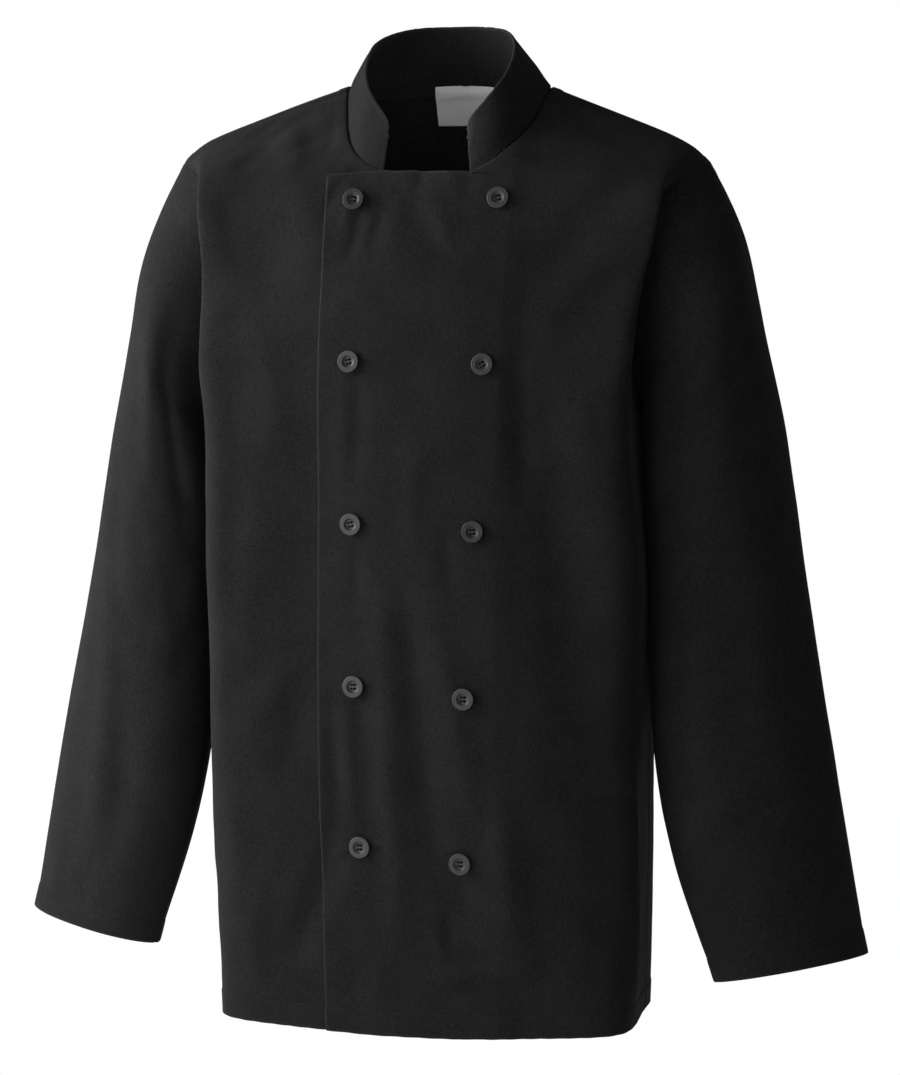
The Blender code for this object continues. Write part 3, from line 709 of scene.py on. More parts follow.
def vertex_normals(points, quads):
    a, b, c, d = (points[quads[:, k]] for k in range(4))
    facing = np.cross(c - a, d - b)
    total = np.zeros_like(points)
    for k in range(4):
        np.add.at(total, quads[:, k], facing)
    return unit(total)


def boundary(quads):
    """The directed edges that only one face has."""
    pairs = np.concatenate([quads[:, [k, (k + 1) % 4]] for k in range(4)])
    size = int(quads.max()) + 1
    code, back = pairs[:, 0] * size + pairs[:, 1], pairs[:, 1] * size + pairs[:, 0]
    return pairs[~np.isin(code, back)]


def rim_directions(points, normals, edges):
    """The direction out of the sheet, along it, at each of its boundary points."""
    run = points[edges[:, 1]] - points[edges[:, 0]]
    out = unit(np.cross(run, normals[edges[:, 0]] + normals[edges[:, 1]]))
    total = np.zeros_like(points)
    np.add.at(total, edges[:, 0], out)
    np.add.at(total, edges[:, 1], out)
    return unit(total)


def real_quads(points, quads):
    """Leaves out faces whose points all fall together."""
    a, b, c, d = (points[quads[:, k]] for k in range(4))
    size = np.linalg.norm(np.cross(c - a, d - b), axis=1)
    return quads[size > 1e-5]


def shell(name, points, quads, coords, thickness, edge_rubbing_and_highlight):
    """Cloth with a rounded rim, from its outer surface."""
    normals = vertex_normals(points, quads)
    edges = boundary(quads)
    rim = np.unique(edges)
    out = rim_directions(points, normals, edges)[rim]
    count = len(points)
    where = np.full(count, -1)
    where[rim] = np.arange(len(rim))
    half = thickness[rim, None] / 2
    middle = points[rim] - normals[rim] * half
    all_points = [points, points - normals * thickness[:, None]]
    all_coords, all_tone = [coords, coords], [edge_rubbing_and_highlight, edge_rubbing_and_highlight]
    levels = [np.arange(count)]
    for k, turn in enumerate((0.25 * math.pi, 0.5 * math.pi, 0.75 * math.pi)):
        all_points.append(middle + half * (out * math.sin(turn) + normals[rim] * math.cos(turn)))
        all_coords.append(coords[rim])
        all_tone.append(edge_rubbing_and_highlight[rim])
        levels.append(2 * count + k * len(rim) + where)
    levels.append(np.arange(count) + count)
    faces = [quads, quads[:, ::-1] + count]
    a, b = edges.T
    for upper, lower in zip(levels, levels[1:]):
        faces.append(np.stack([upper[b], upper[a], lower[a], lower[b]], axis=1))
    flat = np.concatenate(all_coords) * MM
    # The edge attribute says how much lighter the cloth is near its edges: partly rubbing, partly a
    # painted highlight of the rim catching the light.
    attributes = (
        ("cloth", "FLOAT_VECTOR", np.column_stack([flat, np.zeros(len(flat))])),
        ("edge", "FLOAT", np.concatenate(all_tone)),
    )
    return make_mesh(name, np.concatenate(all_points), np.concatenate(faces), attributes)


def distance_to(points, line, reach=40.0):
    """How far each point is from a line, up to reach."""
    total = lengths(line)[-1]
    fine = at_lengths(line, np.linspace(0, total, max(8, int(total / 0.5))))
    tree = KDTree(len(fine))
    for k, point in enumerate(fine):
        tree.insert(point, k)
    tree.balance()
    low, high = fine.min(axis=0) - reach, fine.max(axis=0) + reach
    near = np.all((points > low) & (points < high), axis=1)
    found = np.full(len(points), reach)
    for k in np.flatnonzero(near):
        found[k] = min(tree.find(points[k])[2], reach)
    return found


def sunk(distance, radius):
    """How far a rounded edge of this radius falls away at a distance from it."""
    inside = np.clip(radius - distance, 0, radius)
    return radius - np.sqrt(radius * radius - inside * inside)


def seam_relief(distance, ridge=0.45):
    """A seam: its groove, and the turned-in cloth beside it."""
    allowance = ridge * ease(distance, 0.5, 2.5) * (1 - ease(distance, 8.0, 11.5))
    return allowance - 0.9 * sunk(distance, 1.3)


def hem_relief(stitch, u, v, seed, step=0.45, pucker=0.16):
    """The groove of a hem's stitches, the step where its turned-up cloth ends, and its puckers."""
    groove = -0.35 * bell(stitch, 0.7) - step * ease(stitch, 0.0, 2.0)
    return groove + pucker * soft_noise(u, v, 5.5, 16, seed) * bell(stitch + 2, 9.0)


def hem_thickness(distance):
    return THIN + (FOLDED - THIN) * (1 - ease(distance, *HEM_STEP))


def grid_quads(index):
    a, b = index[:-1, :-1], index[:-1, 1:]
    c, d = index[1:, 1:], index[1:, :-1]
    return np.stack([a, b, c, d], axis=-1).reshape(-1, 4)


def tube_index(levels, sides):
    index = np.arange(levels * sides).reshape(levels, sides)
    return np.column_stack([index, index[:, 0]])


def capped_tube(levels, sides):
    """The quads of a tube of rings, closed at both ends."""
    caps = []
    for first, step in ((0, -1), ((levels - 1) * sides, 1)):
        for k in range(1, sides - 2, 2):
            caps.append((first + np.array([0, k, k + 1, k + 2]))[::step])
    return np.concatenate([grid_quads(tube_index(levels, sides)), np.array(caps)])


def ring_points(centres, across, over, radius, sides):
    """A ring about each centre, in the plane of its two directions."""
    turn = np.linspace(0, 2 * math.pi, sides + 1)[:-1]
    around = across[:, None] * np.cos(turn)[:, None] + over[:, None] * np.sin(turn)[:, None]
    return centres[:, None] + np.asarray(radius)[..., None, None] * around


# --- The fronts, back, sleeves and collar -----------------------------------------------------------
def panel_places():
    """Rows of a panel: how far up each lies."""
    below = np.linspace(NEAR_HEM[-1], NECK_A - 7.5, PANEL_UP)[1:]
    top = [NECK_A - offset for offset in (5.0, 3.2, 2.0, 1.25, 0.75)]
    above = np.linspace(NECK_A + 1.5, TOP_A - 7.5, SHOULDER_UP)
    return np.array([*NEAR_HEM, *below, *top, *above, *[TOP_A - s for s in NEAR_SEAM[::-1][1:]]])


def panel_relief(field, reach, height, neck_ridge):
    """Folds, which die out at the seams and are weaker at the stiffer hem, and the seams."""
    seam_near = np.minimum.reduce([reach[k] for k in ("side", "armhole", "shoulder", "neck")])
    relief = field * ease(seam_near, 1.0, 16.0) * (0.55 + 0.45 * ease(height, 4.0, 46.0))
    for kind in ("side", "armhole", "shoulder"):
        relief += seam_relief(reach[kind] - 0.35)
    return relief + seam_relief(reach["neck"] - 0.35, neck_ridge) - 0.8 * sunk(reach["hem"], 0.9)


def build_front(name, side):
    """One front, and the line of its hem's stitches. The wearer's left one lies on top."""
    along = panel_places()
    rows, girths = front_grid(along, 0.0 if side == LEFT else UNDERLAP_DROP)
    panel = len(rows[-1])
    starts = np.cumsum([0, *[len(row) for row in rows]])
    quads = []
    for i in range(len(rows) - 1):
        width = min(len(rows[i]), len(rows[i + 1]))
        lower, upper = starts[i] + np.arange(width), starts[i + 1] + np.arange(width)
        # Rows run from the side to the middle, so that a left front's faces are turned round.
        quads.append(np.stack([lower[1:], lower[:-1], upper[:-1], upper[1:]], axis=1))
    quads = np.concatenate(quads)
    points = np.concatenate(rows)
    girth = np.concatenate(girths)
    height = np.repeat(along, [len(row) for row in rows])
    full = int(np.sum(along <= NECK_A))
    firsts, lasts = (np.array([row[k] for row in rows]) for k in (0, -1))
    seams = {
        "side": firsts[along <= UNDERARM_A],
        "armhole": firsts[along > UNDERARM_A - 3],
        "shoulder": rows[-1],
        "neck": lasts[full:],
        "edge": lasts[:full],
        "hem": rows[0],
        "top": rows[full - 1][panel - 1 :],
    }
    reach = {kind: distance_to(points, line) for kind, line in seams.items()}
    if side == RIGHT:
        points = points * (-1, 1, 1)
        quads = quads[:, ::-1]
    quads = real_quads(points, quads)
    normals = vertex_normals(points, quads)
    signed = girth * side
    relief = panel_relief(front_field(signed, height), reach, height, 0.35)
    for kind in ("edge", "top"):
        relief -= 0.8 * sunk(reach[kind], 0.9)
    relief += hem_relief(reach["hem"] - (HEM_DEPTH - NEAR_HEM[0]), girth, height, 21)
    if side == LEFT:
        # It lies on the underlap, and comes down past its edge.
        past = points[:, 0] - UNDERLAP_X
        past = past + 1.2 * soft_noise(np.zeros(len(past)), height, 30, 46, 15)
        run = 0.80 * (1 - ease(past, 1.0, 1.0 + LIFT_RUN_OUT)) + 0.20 * (1 - ease(past, 0.0, 4.0))
        below_neck = 1 - ease(points[:, 2], NECK_Z + 12, NECK_Z + 48)
        relief += (CLOTH + LAYER_GAP) * run * below_neck * (points[:, 1] < 0)
    points = hang(chest_drift(points + normals * relief[:, None]))
    free = np.minimum(reach["edge"], reach["top"])
    facing = THIN + (FOLDED - THIN) * (1 - ease(free, 10.0, 30.0))
    thickness = np.maximum(hem_thickness(reach["hem"]), facing)
    # Lighter near the front edge, its top and the hem: partly rubbing, partly a painted highlight where
    # the rim catches the light.
    tone = bell(np.minimum(free, reach["hem"]), 1.1)
    item = shell(name, points, quads, np.column_stack([signed, height]), thickness, tone)
    row = int(np.argmin(np.abs(along - HEM_DEPTH)))
    sewn = slice(starts[row], starts[row + 1])
    return item, (points[sewn], vertex_normals(points, quads)[sewn])


def build_back():
    """The back, and the line of its hem's stitches."""
    along = panel_places()
    rows, girth = back_grid(along)
    count, width = girth.shape
    left = rows.reshape(-1, 3)
    index = np.arange(count * width).reshape(count, width)
    below = int(np.sum(along <= NECK_A))
    right_index = index + count * width
    right_index[:below, -1] = index[:below, -1]
    points = np.concatenate([left, left * (-1, 1, 1)])
    signed = np.concatenate([girth.ravel(), -girth.ravel()])
    height = np.tile(np.repeat(along, width), 2)
    quads = np.concatenate([grid_quads(index), grid_quads(right_index)[:, ::-1]])
    seams = {
        "side": rows[along <= UNDERARM_A, 0],
        "armhole": rows[along > UNDERARM_A - 3, 0],
        "shoulder": rows[-1],
        "neck": rows[below - 1 :, -1],
        "hem": rows[0],
    }
    used = np.unique(quads)
    remap = np.full(len(points), -1)
    remap[used] = np.arange(len(used))
    points, signed, height = points[used], signed[used], height[used]
    reach = {kind: np.tile(distance_to(left, line), 2)[used] for kind, line in seams.items()}
    quads = real_quads(points, remap[quads])
    normals = vertex_normals(points, quads)
    relief = panel_relief(back_field(signed, height), reach, height, 0.7)
    relief += hem_relief(reach["hem"] - (HEM_DEPTH - NEAR_HEM[0]), signed, height, 22)
    points = hang(chest_drift(points + normals * relief[:, None]))
    coords = np.column_stack([signed, height])
    # Lighter near the hem: partly rubbing, partly a painted highlight where the rim catches the light.
    thickness, tone = hem_thickness(reach["hem"]), bell(reach["hem"], 1.6)
    item = shell("back_cloth", points, quads, coords, thickness, tone)
    row = int(np.argmin(np.abs(along - HEM_DEPTH)))
    sewn = np.concatenate([remap[index[row]], remap[right_index[row]][::-1][1:]])
    return item, (points[sewn], vertex_normals(points, quads)[sewn])


def build_sleeve(name, side):
    """One sleeve, and the line of its cuff's stitches."""
    angles = np.linspace(0, 360, SLEEVE_ROUND + 1)[:-1]
    near_top = [s / SLEEVE_LENGTH for s in NEAR_SEAM]
    near_cuff = [1 - s / SLEEVE_LENGTH for s in NEAR_HEM]
    middle = np.linspace(near_top[-1], near_cuff[-1], SLEEVE_DOWN)[1:-1]
    shares = np.array([*near_top, *middle, *near_cuff[::-1]])
    grid = sleeve_surface(angles, shares, side)
    count, width = grid.shape[:2]
    points = grid.reshape(-1, 3)
    index = tube_index(count, width)
    quads = grid_quads(index)
    if side == RIGHT:
        points = points * (-1, 1, 1)
        quads = quads[:, ::-1]
    degrees = np.tile(angles, count)
    down = np.repeat(shares * SLEEVE_LENGTH, width)
    cuff = SLEEVE_LENGTH - down
    normals = vertex_normals(points, quads)
    if np.sum(normals * (points - points.mean(axis=0))) < 0:
        quads, normals = quads[:, ::-1], -normals
    field = sleeve_field(degrees, down, *SLEEVE_FOLDS[side])
    field *= ease(down, 1.0, 26.0) * (0.5 + 0.5 * ease(cuff, 2.0, 50.0))
    under = np.abs(degrees - 180) * SLEEVE_DEGREE  # from the seam below the arm
    relief = seam_relief(down - 0.05, 0.35)
    relief += -0.7 * bell(under, 0.9) + 0.3 * bell(under - 5, 4)
    relief += hem_relief(cuff - CUFF_DEPTH, degrees * SLEEVE_DEGREE, down, 24, 0.5, 0.2)
    relief += (1 - ease(cuff, 0.0, 24.0)) - 0.8 * sunk(cuff, 0.9)
    points = points + normals * (field + relief)[:, None]
    share = down / SLEEVE_LENGTH
    corner = np.sin(np.radians((np.clip(degrees, 90, 185) - 90) * 180 / 95)) ** 2
    if side == LEFT:
        rest = ease(share, 0.0, 0.14) * (1 - ease(share, 0.46, 0.80))
        inner = ease(-np.cos(np.radians(degrees)), -0.15, 0.85)
        points = points + (rest * ARM_REST * inner)[:, None] * np.array((-1.0, 0, 0))
        points = points + (rest * ARM_REST_FRONT * corner)[:, None] * np.array((-0.87, -0.5, 0))
    else:
        fuller = ease(share, 0.0, 0.20) * (1 - ease(share, 0.55, 0.95)) * RIGHT_ARM_FRONT
        points = points + (fuller * corner)[:, None] * np.array((0.30, -0.95, 0))
    points = chest_drift(points)
    coords = np.column_stack([degrees * SLEEVE_WEAVE, down])
    # Lighter near the cuff: partly rubbing, partly a painted highlight where the rim catches the light.
    item = shell(name, points, quads, coords, hem_thickness(cuff), bell(cuff, 1.6))
    ring = index[int(np.argmin(np.abs(shares - (1 - CUFF_DEPTH / SLEEVE_LENGTH))))]
    return item, (points[ring], vertex_normals(points, quads)[ring])


def build_collar():
    """The stand collar, and the line of stitches along its top."""
    half = np.linspace(25, 180, COLLAR_HALF)
    angles = np.concatenate([half, 360 - half[::-1][1:]])
    base = neck_points(angles)
    top = COLLAR_CURVE(np.minimum(angles, 360 - angles))
    top[:, 0] = np.where(angles > 180, -top[:, 0], top[:, 0])
    tall = float(np.mean(np.linalg.norm(top - base, axis=1)))
    near_base = (-4.0, -1.5, 0.1, *NEAR_SEAM)
    near_top = (1.1, 1.5, 2.1, 2.6, 3.0, 3.4, 4.0, 5.2, 7.0)
    shares = spaced(tall, near_base, near_top, COLLAR_UP) / tall
    # The ends are drawn in by half the collar's thickness, so that their round rim fits.
    near_end = np.array((1.1, 1.6, 2.3))
    line = lengths(base)
    middle = np.linspace(3.4, line[-1] - 3.4, COLLAR_ROUND)
    places = np.concatenate([near_end, middle, line[-1] - near_end[::-1]])
    base, top = (read_at(places, line, side) for side in (base, top))
    grid = base[None] + (top - base)[None] * shares[:, None, None]
    count, width = grid.shape[:2]
    points = grid.reshape(-1, 3)
    index = np.arange(count * width).reshape(count, width)
    quads = grid_quads(index)
    normals = vertex_normals(points, quads)
    up = np.repeat(shares * tall, width)
    around = np.tile(lengths(base), count)
    reach = distance_to(points, np.concatenate([grid[:, 0], grid[-1], grid[::-1, -1]]))
    field = 0.7 * soft_noise(around, up, 34, 30, 61) + 0.25 * soft_noise(around, up, 13, 16, 62)
    field += 0.72 * np.sin(up / tall * math.pi)
    field *= ease(up, 0.5, 9.0)
    relief = -0.9 * sunk(np.maximum(up, 0.0), 1.3) - 0.7 * sunk(reach, 1.0)
    relief -= 0.28 * bell(reach - COLLAR_STITCH, 0.55)
    points = points + normals * (field + relief)[:, None]
    coords = np.column_stack([around, up])
    thickness = np.full(len(points), COLLAR_THICK)
    # Lighter near its free edges: partly rubbing, partly a painted highlight where the rim catches the
    # light.
    item = shell("collar_cloth", points, quads, coords, thickness, bell(reach, 1.7))
    sewn = index[int(np.argmin(np.abs(shares - (1 - 3.0 / tall)))), 3:-3]
    return item, (points[sewn], vertex_normals(points, quads)[sewn])


# --- Materials --------------------------------------------------------------------------------------
def nodes_of(name):
    made = bpy.data.materials.new(name)
    made.use_nodes = True
    tree = made.node_tree
    return made, tree, tree.nodes["Principled BSDF"]


def add(tree, kind, **inputs):
    node = tree.nodes.new(kind)
    for key, value in inputs.items():
        if key.startswith("_"):
            setattr(node, key[1:], value)
        else:
            node.inputs[key].default_value = value
    return node


def math_node(tree, operation, a, b=None):
    node = tree.nodes.new("ShaderNodeMath")
    node.operation = operation
    for slot, value in enumerate((a, b)):
        if value is None:
            continue
        if isinstance(value, (int, float)):
            node.inputs[slot].default_value = value
        else:
            tree.links.new(value, node.inputs[slot])
    return node.outputs[0]


def total(tree, *values):
    """The sum of these values."""
    so_far = values[0]
    for value in values[1:]:
        so_far = math_node(tree, "ADD", so_far, value)
    return so_far


def scaled(tree, value, gain):
    return math_node(tree, "MULTIPLY", value, gain)


def noise(tree, place, scale, detail, roughness):
    node = add(tree, "ShaderNodeTexNoise", Scale=scale, Detail=detail, Roughness=roughness)
    tree.links.new(place, node.inputs["Vector"])
    return node.outputs["Fac"]


def either_way(tree, value, gain):
    """Noise made even about zero, times gain."""
    return scaled(tree, math_node(tree, "SUBTRACT", value, 0.5), gain)


def blend(tree, share, low, high):
    """A colour between two, each of which is a colour or another node's output."""
    node = add(tree, "ShaderNodeMix", _data_type="RGBA")
    tree.links.new(share, node.inputs[0])
    for slot, colour in ((6, low), (7, high)):
        if isinstance(colour, tuple):
            node.inputs[slot].default_value = (*colour, 1)
        else:
            tree.links.new(colour, node.inputs[slot])
    return node.outputs[2]


def add_bump(tree, shader, height, strength, distance):
    bump = add(tree, "ShaderNodeBump", Strength=strength, Distance=distance)
    tree.links.new(height, bump.inputs["Height"])
    tree.links.new(bump.outputs[0], shader.inputs["Normal"])


def shade(colour, gain):
    return tuple(value * gain for value in colour)


def twill_material(name, base, edge_rubbed_and_highlight, roughness, sheen, pitch=0.00085):
    """Black twill: fine slanting lines, the grain of the yarn, faint broad mottling, and edges that are
    lighter: partly rubbed, and partly a painted highlight where the rounded rim catches the light."""
    made, tree, shader = nodes_of(name)
    link = tree.links.new
    place = add(tree, "ShaderNodeAttribute", _attribute_name="cloth").outputs["Vector"]
    split = add(tree, "ShaderNodeSeparateXYZ")
    link(place, split.inputs[0])
    g, a = split.outputs[0], split.outputs[1]
    slant = total(tree, scaled(tree, g, 0.85), scaled(tree, a, 0.53))
    line = math_node(tree, "SINE", scaled(tree, slant, 2 * math.pi / pitch))
    thread = math_node(tree, "SINE", scaled(tree, a, 2 * math.pi / (pitch * 0.45)))
    weave = total(tree, line, scaled(tree, thread, 0.3))
    stretch = add(tree, "ShaderNodeMapping", Scale=(900.0, 120.0, 1.0))
    link(place, stretch.inputs["Vector"])
    grain = noise(tree, place, 520.0, 3.0, 0.7)
    level = total(
        tree,
        either_way(tree, grain, 2.6),
        either_way(tree, noise(tree, place, 250.0, 2.0, 0.6), 0.8),
        either_way(tree, noise(tree, stretch.outputs[0], 1.0, 2.0, 0.5), 0.9),
        either_way(tree, noise(tree, place, 26.0, 3.0, 0.55), 0.8),
        scaled(tree, weave, 0.10),
        0.5,
    )
    # The cloth is lighter near its edges: partly rubbing, partly a painted highlight where the rounded
    # rim catches the light.
    edge = add(tree, "ShaderNodeAttribute", _attribute_name="edge").outputs["Fac"]
    rubbing_and_highlight_share = scaled(tree, edge, total(tree, grain, 0.15))
    cloth = blend(tree, level, shade(base, 0.55), shade(base, 1.45))
    link(blend(tree, rubbing_and_highlight_share, cloth, edge_rubbed_and_highlight), shader.inputs["Base Color"])
    link(total(tree, roughness - 0.06, scaled(tree, grain, 0.12)), shader.inputs["Roughness"])
    shader.inputs["Specular IOR Level"].default_value = 0.10
    shader.inputs["Sheen Weight"].default_value = sheen
    shader.inputs["Sheen Roughness"].default_value = 0.45
    shader.inputs["Sheen Tint"].default_value = (0.9, 0.9, 0.9, 1)
    height = total(tree, scaled(tree, weave, 0.5), scaled(tree, grain, 1.6))
    add_bump(tree, shader, height, 0.55, 0.00012)
    return made


def simple_material(name, base, roughness, grain_scale, variation, bump_strength, specular=0.5):
    """One colour with a fine grain in its tone, roughness and surface."""
    made, tree, shader = nodes_of(name)
    link = tree.links.new
    where = tree.nodes.new("ShaderNodeTexCoord")
    grain = noise(tree, where.outputs["Object"], grain_scale, 4.0, 0.6)
    colour = blend(tree, grain, shade(base, 1 - variation), shade(base, 1 + variation))
    link(colour, shader.inputs["Base Color"])
    link(total(tree, roughness - 0.08, scaled(tree, grain, 0.16)), shader.inputs["Roughness"])
    shader.inputs["Specular IOR Level"].default_value = specular
    add_bump(tree, shader, grain, bump_strength, 0.0001)
    return made


# --- Stitches, buttonholes and buttons ---------------------------------------------------------------
STITCH_FORM = (
    # share of its length, share of its radius, rise out of the cloth
    (0.0, 0.15, -0.28),
    (0.10, 0.85, -0.02),
    (0.5, 1.0, 0.16),
    (0.90, 0.85, -0.02),
    (1.0, 0.15, -0.28),
)
BUTTON_PROFILE = (
    # radius, height, from the middle of its face round the rim to the middle of its back
    (0.0, 1.28), (1.2, 1.27), (3.2, 1.26), (3.8, 1.36), (4.3, 1.70), (4.65, 2.20), (4.9, 2.60),
    (5.15, 2.80), (5.5, 2.86), (6.6, 2.84), (7.9, 2.80), (8.15, 2.84), (8.4, 2.86), (8.65, 2.74),
    (8.85, 2.45), (8.95, 2.0), (8.85, 1.3), (8.5, 0.7), (7.8, 0.30), (6.6, 0.08), (5.0, 0.0), (0.0, 0.0),
)
HOLE_STEP = 3.2  # between the four holes of a button
HOLE_RADIUS = 1.05
FOLD_REACH = 14.0  # no fold beside a button is higher
BUTTON_TURNS = (8, 32, 4, 0, -3, -6, 17, 15, 4, 1)  # degrees, down the left column, then the right
DARK_BUTTONS = (2, 5)  # these two are given a darker plastic
SLIT_CORDS = 31  # down each side of a buttonhole
SLIT_LENGTH = 22.0
SLIT_START = -4.5  # the slit begins a little past the button's middle, towards the front edge


def stitch_run(points, normals, pitch=3.0, share=0.80, radius=0.24):
    """Capsules laid end to end along a line, as point and quad arrays."""
    so_far = lengths(points)
    count, sides = int(so_far[-1] / pitch), 6
    begin = np.arange(count) * pitch
    rings = []
    for where, size, rise in STITCH_FORM:
        at = begin + where * pitch * share
        out = unit(read_at(at, so_far, normals))
        ahead = unit(read_at(at + 0.3, so_far, points) - read_at(at - 0.3, so_far, points))
        centre = read_at(at, so_far, points) + out * rise
        rings.append(ring_points(centre, np.cross(ahead, out), out, radius * size, sides))
    block = np.stack(rings, axis=1)  # stitch, ring, side, xyz
    shift = (np.arange(count) * len(rings) * sides)[:, None, None]
    return block.reshape(-1, 3), (capped_tube(len(rings), sides)[None] + shift).reshape(-1, 4)


def joined(runs):
    points, quads, start = [], [], 0
    for p, q in runs:
        points.append(p)
        quads.append(q + start)
        start += len(p)
    return np.concatenate(points), np.concatenate(quads)


def face_outwards(item):
    """Turns a closed mesh's faces to the outside."""
    mesh = bmesh.new()
    mesh.from_mesh(item.data)
    bmesh.ops.recalc_face_normals(mesh, faces=mesh.faces[:])
    mesh.to_mesh(item.data)
    mesh.free()


def mesh_data(name, mesh):
    data = bpy.data.meshes.new(name)
    mesh.to_mesh(data)
    mesh.free()
    return data


def button_data():
    """A turned button with a dished middle and four holes. It faces +Z."""
    steps = 72
    mesh = bmesh.new()
    rings = []
    for reach, height in BUTTON_PROFILE:
        turns = [2 * math.pi * k / steps for k in range(steps if reach else 1)]
        spots = [Vector((reach * math.cos(turn), reach * math.sin(turn), height)) for turn in turns]
        rings.append([mesh.verts.new(spot * MM) for spot in spots])
    for upper, lower in zip(rings, rings[1:]):
        for k in range(steps):
            n = (k + 1) % steps
            places = ((upper, k), (lower, k), (lower, n), (upper, n))
            corners = [ring[place % len(ring)] for ring, place in places]
            mesh.faces.new(dict.fromkeys(corners))  # in the middle two corners are one
    whole = linked("button_blank", mesh_data("button", mesh))
    drills = bmesh.new()
    for x in (-HOLE_STEP / 2, HOLE_STEP / 2):
        for y in (-HOLE_STEP / 2, HOLE_STEP / 2):
            at = Matrix.Translation(Vector((x, y, 1.5)) * MM)
            radii = {"radius1": HOLE_RADIUS * MM, "radius2": HOLE_RADIUS * MM}
            bmesh.ops.create_cone(drills, cap_ends=True, segments=20, depth=8 * MM, matrix=at, **radii)
    drill = linked("drill", mesh_data("drill", drills))
    cut = whole.modifiers.new("holes", "BOOLEAN")
    cut.operation = "DIFFERENCE"
    cut.object = drill
    cut.solver = "EXACT"
    bpy.context.view_layer.update()
    done = bpy.data.meshes.new_from_object(whole.evaluated_get(bpy.context.evaluated_depsgraph_get()))
    bpy.data.objects.remove(whole)
    bpy.data.objects.remove(drill)
    done.shade_smooth()
    done.set_sharp_from_angle(angle=math.radians(35))
    return done


def lofted(a, b, radius, sag=0.0, sides=8, steps=6):
    """A thread from a to b that rises by sag in the middle."""
    a, b = np.array(a, float), np.array(b, float)
    ahead = unit(b - a)
    up = np.array((0, 0, 1.0)) if abs(ahead[2]) < 0.9 else np.array((1.0, 0, 0))
    beside = unit(np.cross(ahead, up))
    over = np.cross(beside, ahead)
    t = np.linspace(0, 1, steps + 1)[:, None]
    centres = a + (b - a) * t + over * sag * np.sin(math.pi * t)
    rings = ring_points(centres, beside[None], over[None], radius, sides)
    return rings.reshape(-1, 3), capped_tube(steps + 1, sides)


def button_thread():
    """The thread in one button and its shank, in the button's own millimetres."""
    runs = []
    s = HOLE_STEP / 2
    for y in (-s, s):
        for step in (-0.42, 0.0, 0.42):
            low, high = (-s, y + step, 1.15), (s, y + step, 1.15)
            runs.append(lofted(low, high, 0.24, 0.55))
            for end in (low, high):
                runs.append(lofted((*end[:2], -0.9), end, 0.24, 0.0, 6, 2))
    return joined(runs)


# --- Putting it together ------------------------------------------------------------------------------
twill = twill_material("black_twill", (0.0127, 0.0127, 0.0127), (0.0265, 0.0265, 0.0265), 0.85, 0.03)
thread = simple_material("black_thread", (0.011, 0.011, 0.012), 0.8, 2600, 0.35, 0.3, 0.2)
button_cotton = simple_material("button_thread", (0.006, 0.006, 0.0065), 0.8, 2600, 0.3, 0.3, 0.2)
plastic = simple_material("button_plastic", (0.032, 0.033, 0.037), 0.42, 420, 0.30, 0.10)
dark_plastic = simple_material("button_plastic_dark", (0.016, 0.0165, 0.019), 0.40, 420, 0.30, 0.10)
label_satin = simple_material("label_satin", (0.78, 0.78, 0.79), 0.55, 1500, 0.04, 0.3)


def dress(item, material, node=None):
    """Gives a piece its material, hangs it on the root, and hides the CAD part it stands in for."""
    item.data.materials.append(material)
    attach(item, "root")
    if node:
        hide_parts(node)
    return item


def thread_mesh(name, points, quads, material):
    item = make_mesh(name, points, quads)
    face_outwards(item)
    return dress(item, material)


built = {
    "front_left": build_front("front_left_cloth", LEFT),
    "front_right": build_front("front_right_cloth", RIGHT),
    "back": build_back(),
    "sleeve_left": build_sleeve("sleeve_left_cloth", LEFT),
    "sleeve_right": build_sleeve("sleeve_right_cloth", RIGHT),
    "collar": build_collar(),
}
cloth = {node: dress(piece, twill, node=node) for node, (piece, sewn) in built.items()}
for node, (piece, sewn) in built.items():
    thread_mesh(f"{node}_stitches", *stitch_run(*sewn), thread)
front_points = np.array([vertex.co for vertex in cloth["front_left"].data.vertices]) / MM


def front_place(x, z):
    """A point of the left front's outer face, before its folds."""
    if abs(x) <= COLLAR_END_X:
        here = front_middle(np.array([x]), np.array([z]))[0]
    else:
        dense = np.linspace(0, NECK_A, 701)
        place = float(np.interp(z, steady(FRONT_ROWS, 3, dense), dense))
        line = panel_lines(FRONT_ROWS, np.array([place]), COLLAR_END_X, front_middle)[0][::-1]
        line = line[: int(np.argmax(line[:, 0])) + 1]
        y, height = (float(np.interp(abs(x), line[:, 0], line[:, k])) for k in (1, 2))
        here = np.array((x, y, height))
    return hang(chest_drift(here[None]))[0]


def front_directions(x, z, reach):
    """Across the left front, up it and out of it."""
    ahead = unit(front_place(x + reach, z) - front_place(x - reach, z))
    above = unit(front_place(x, z + reach) - front_place(x, z - reach))
    return ahead, above, unit(np.cross(ahead, above))


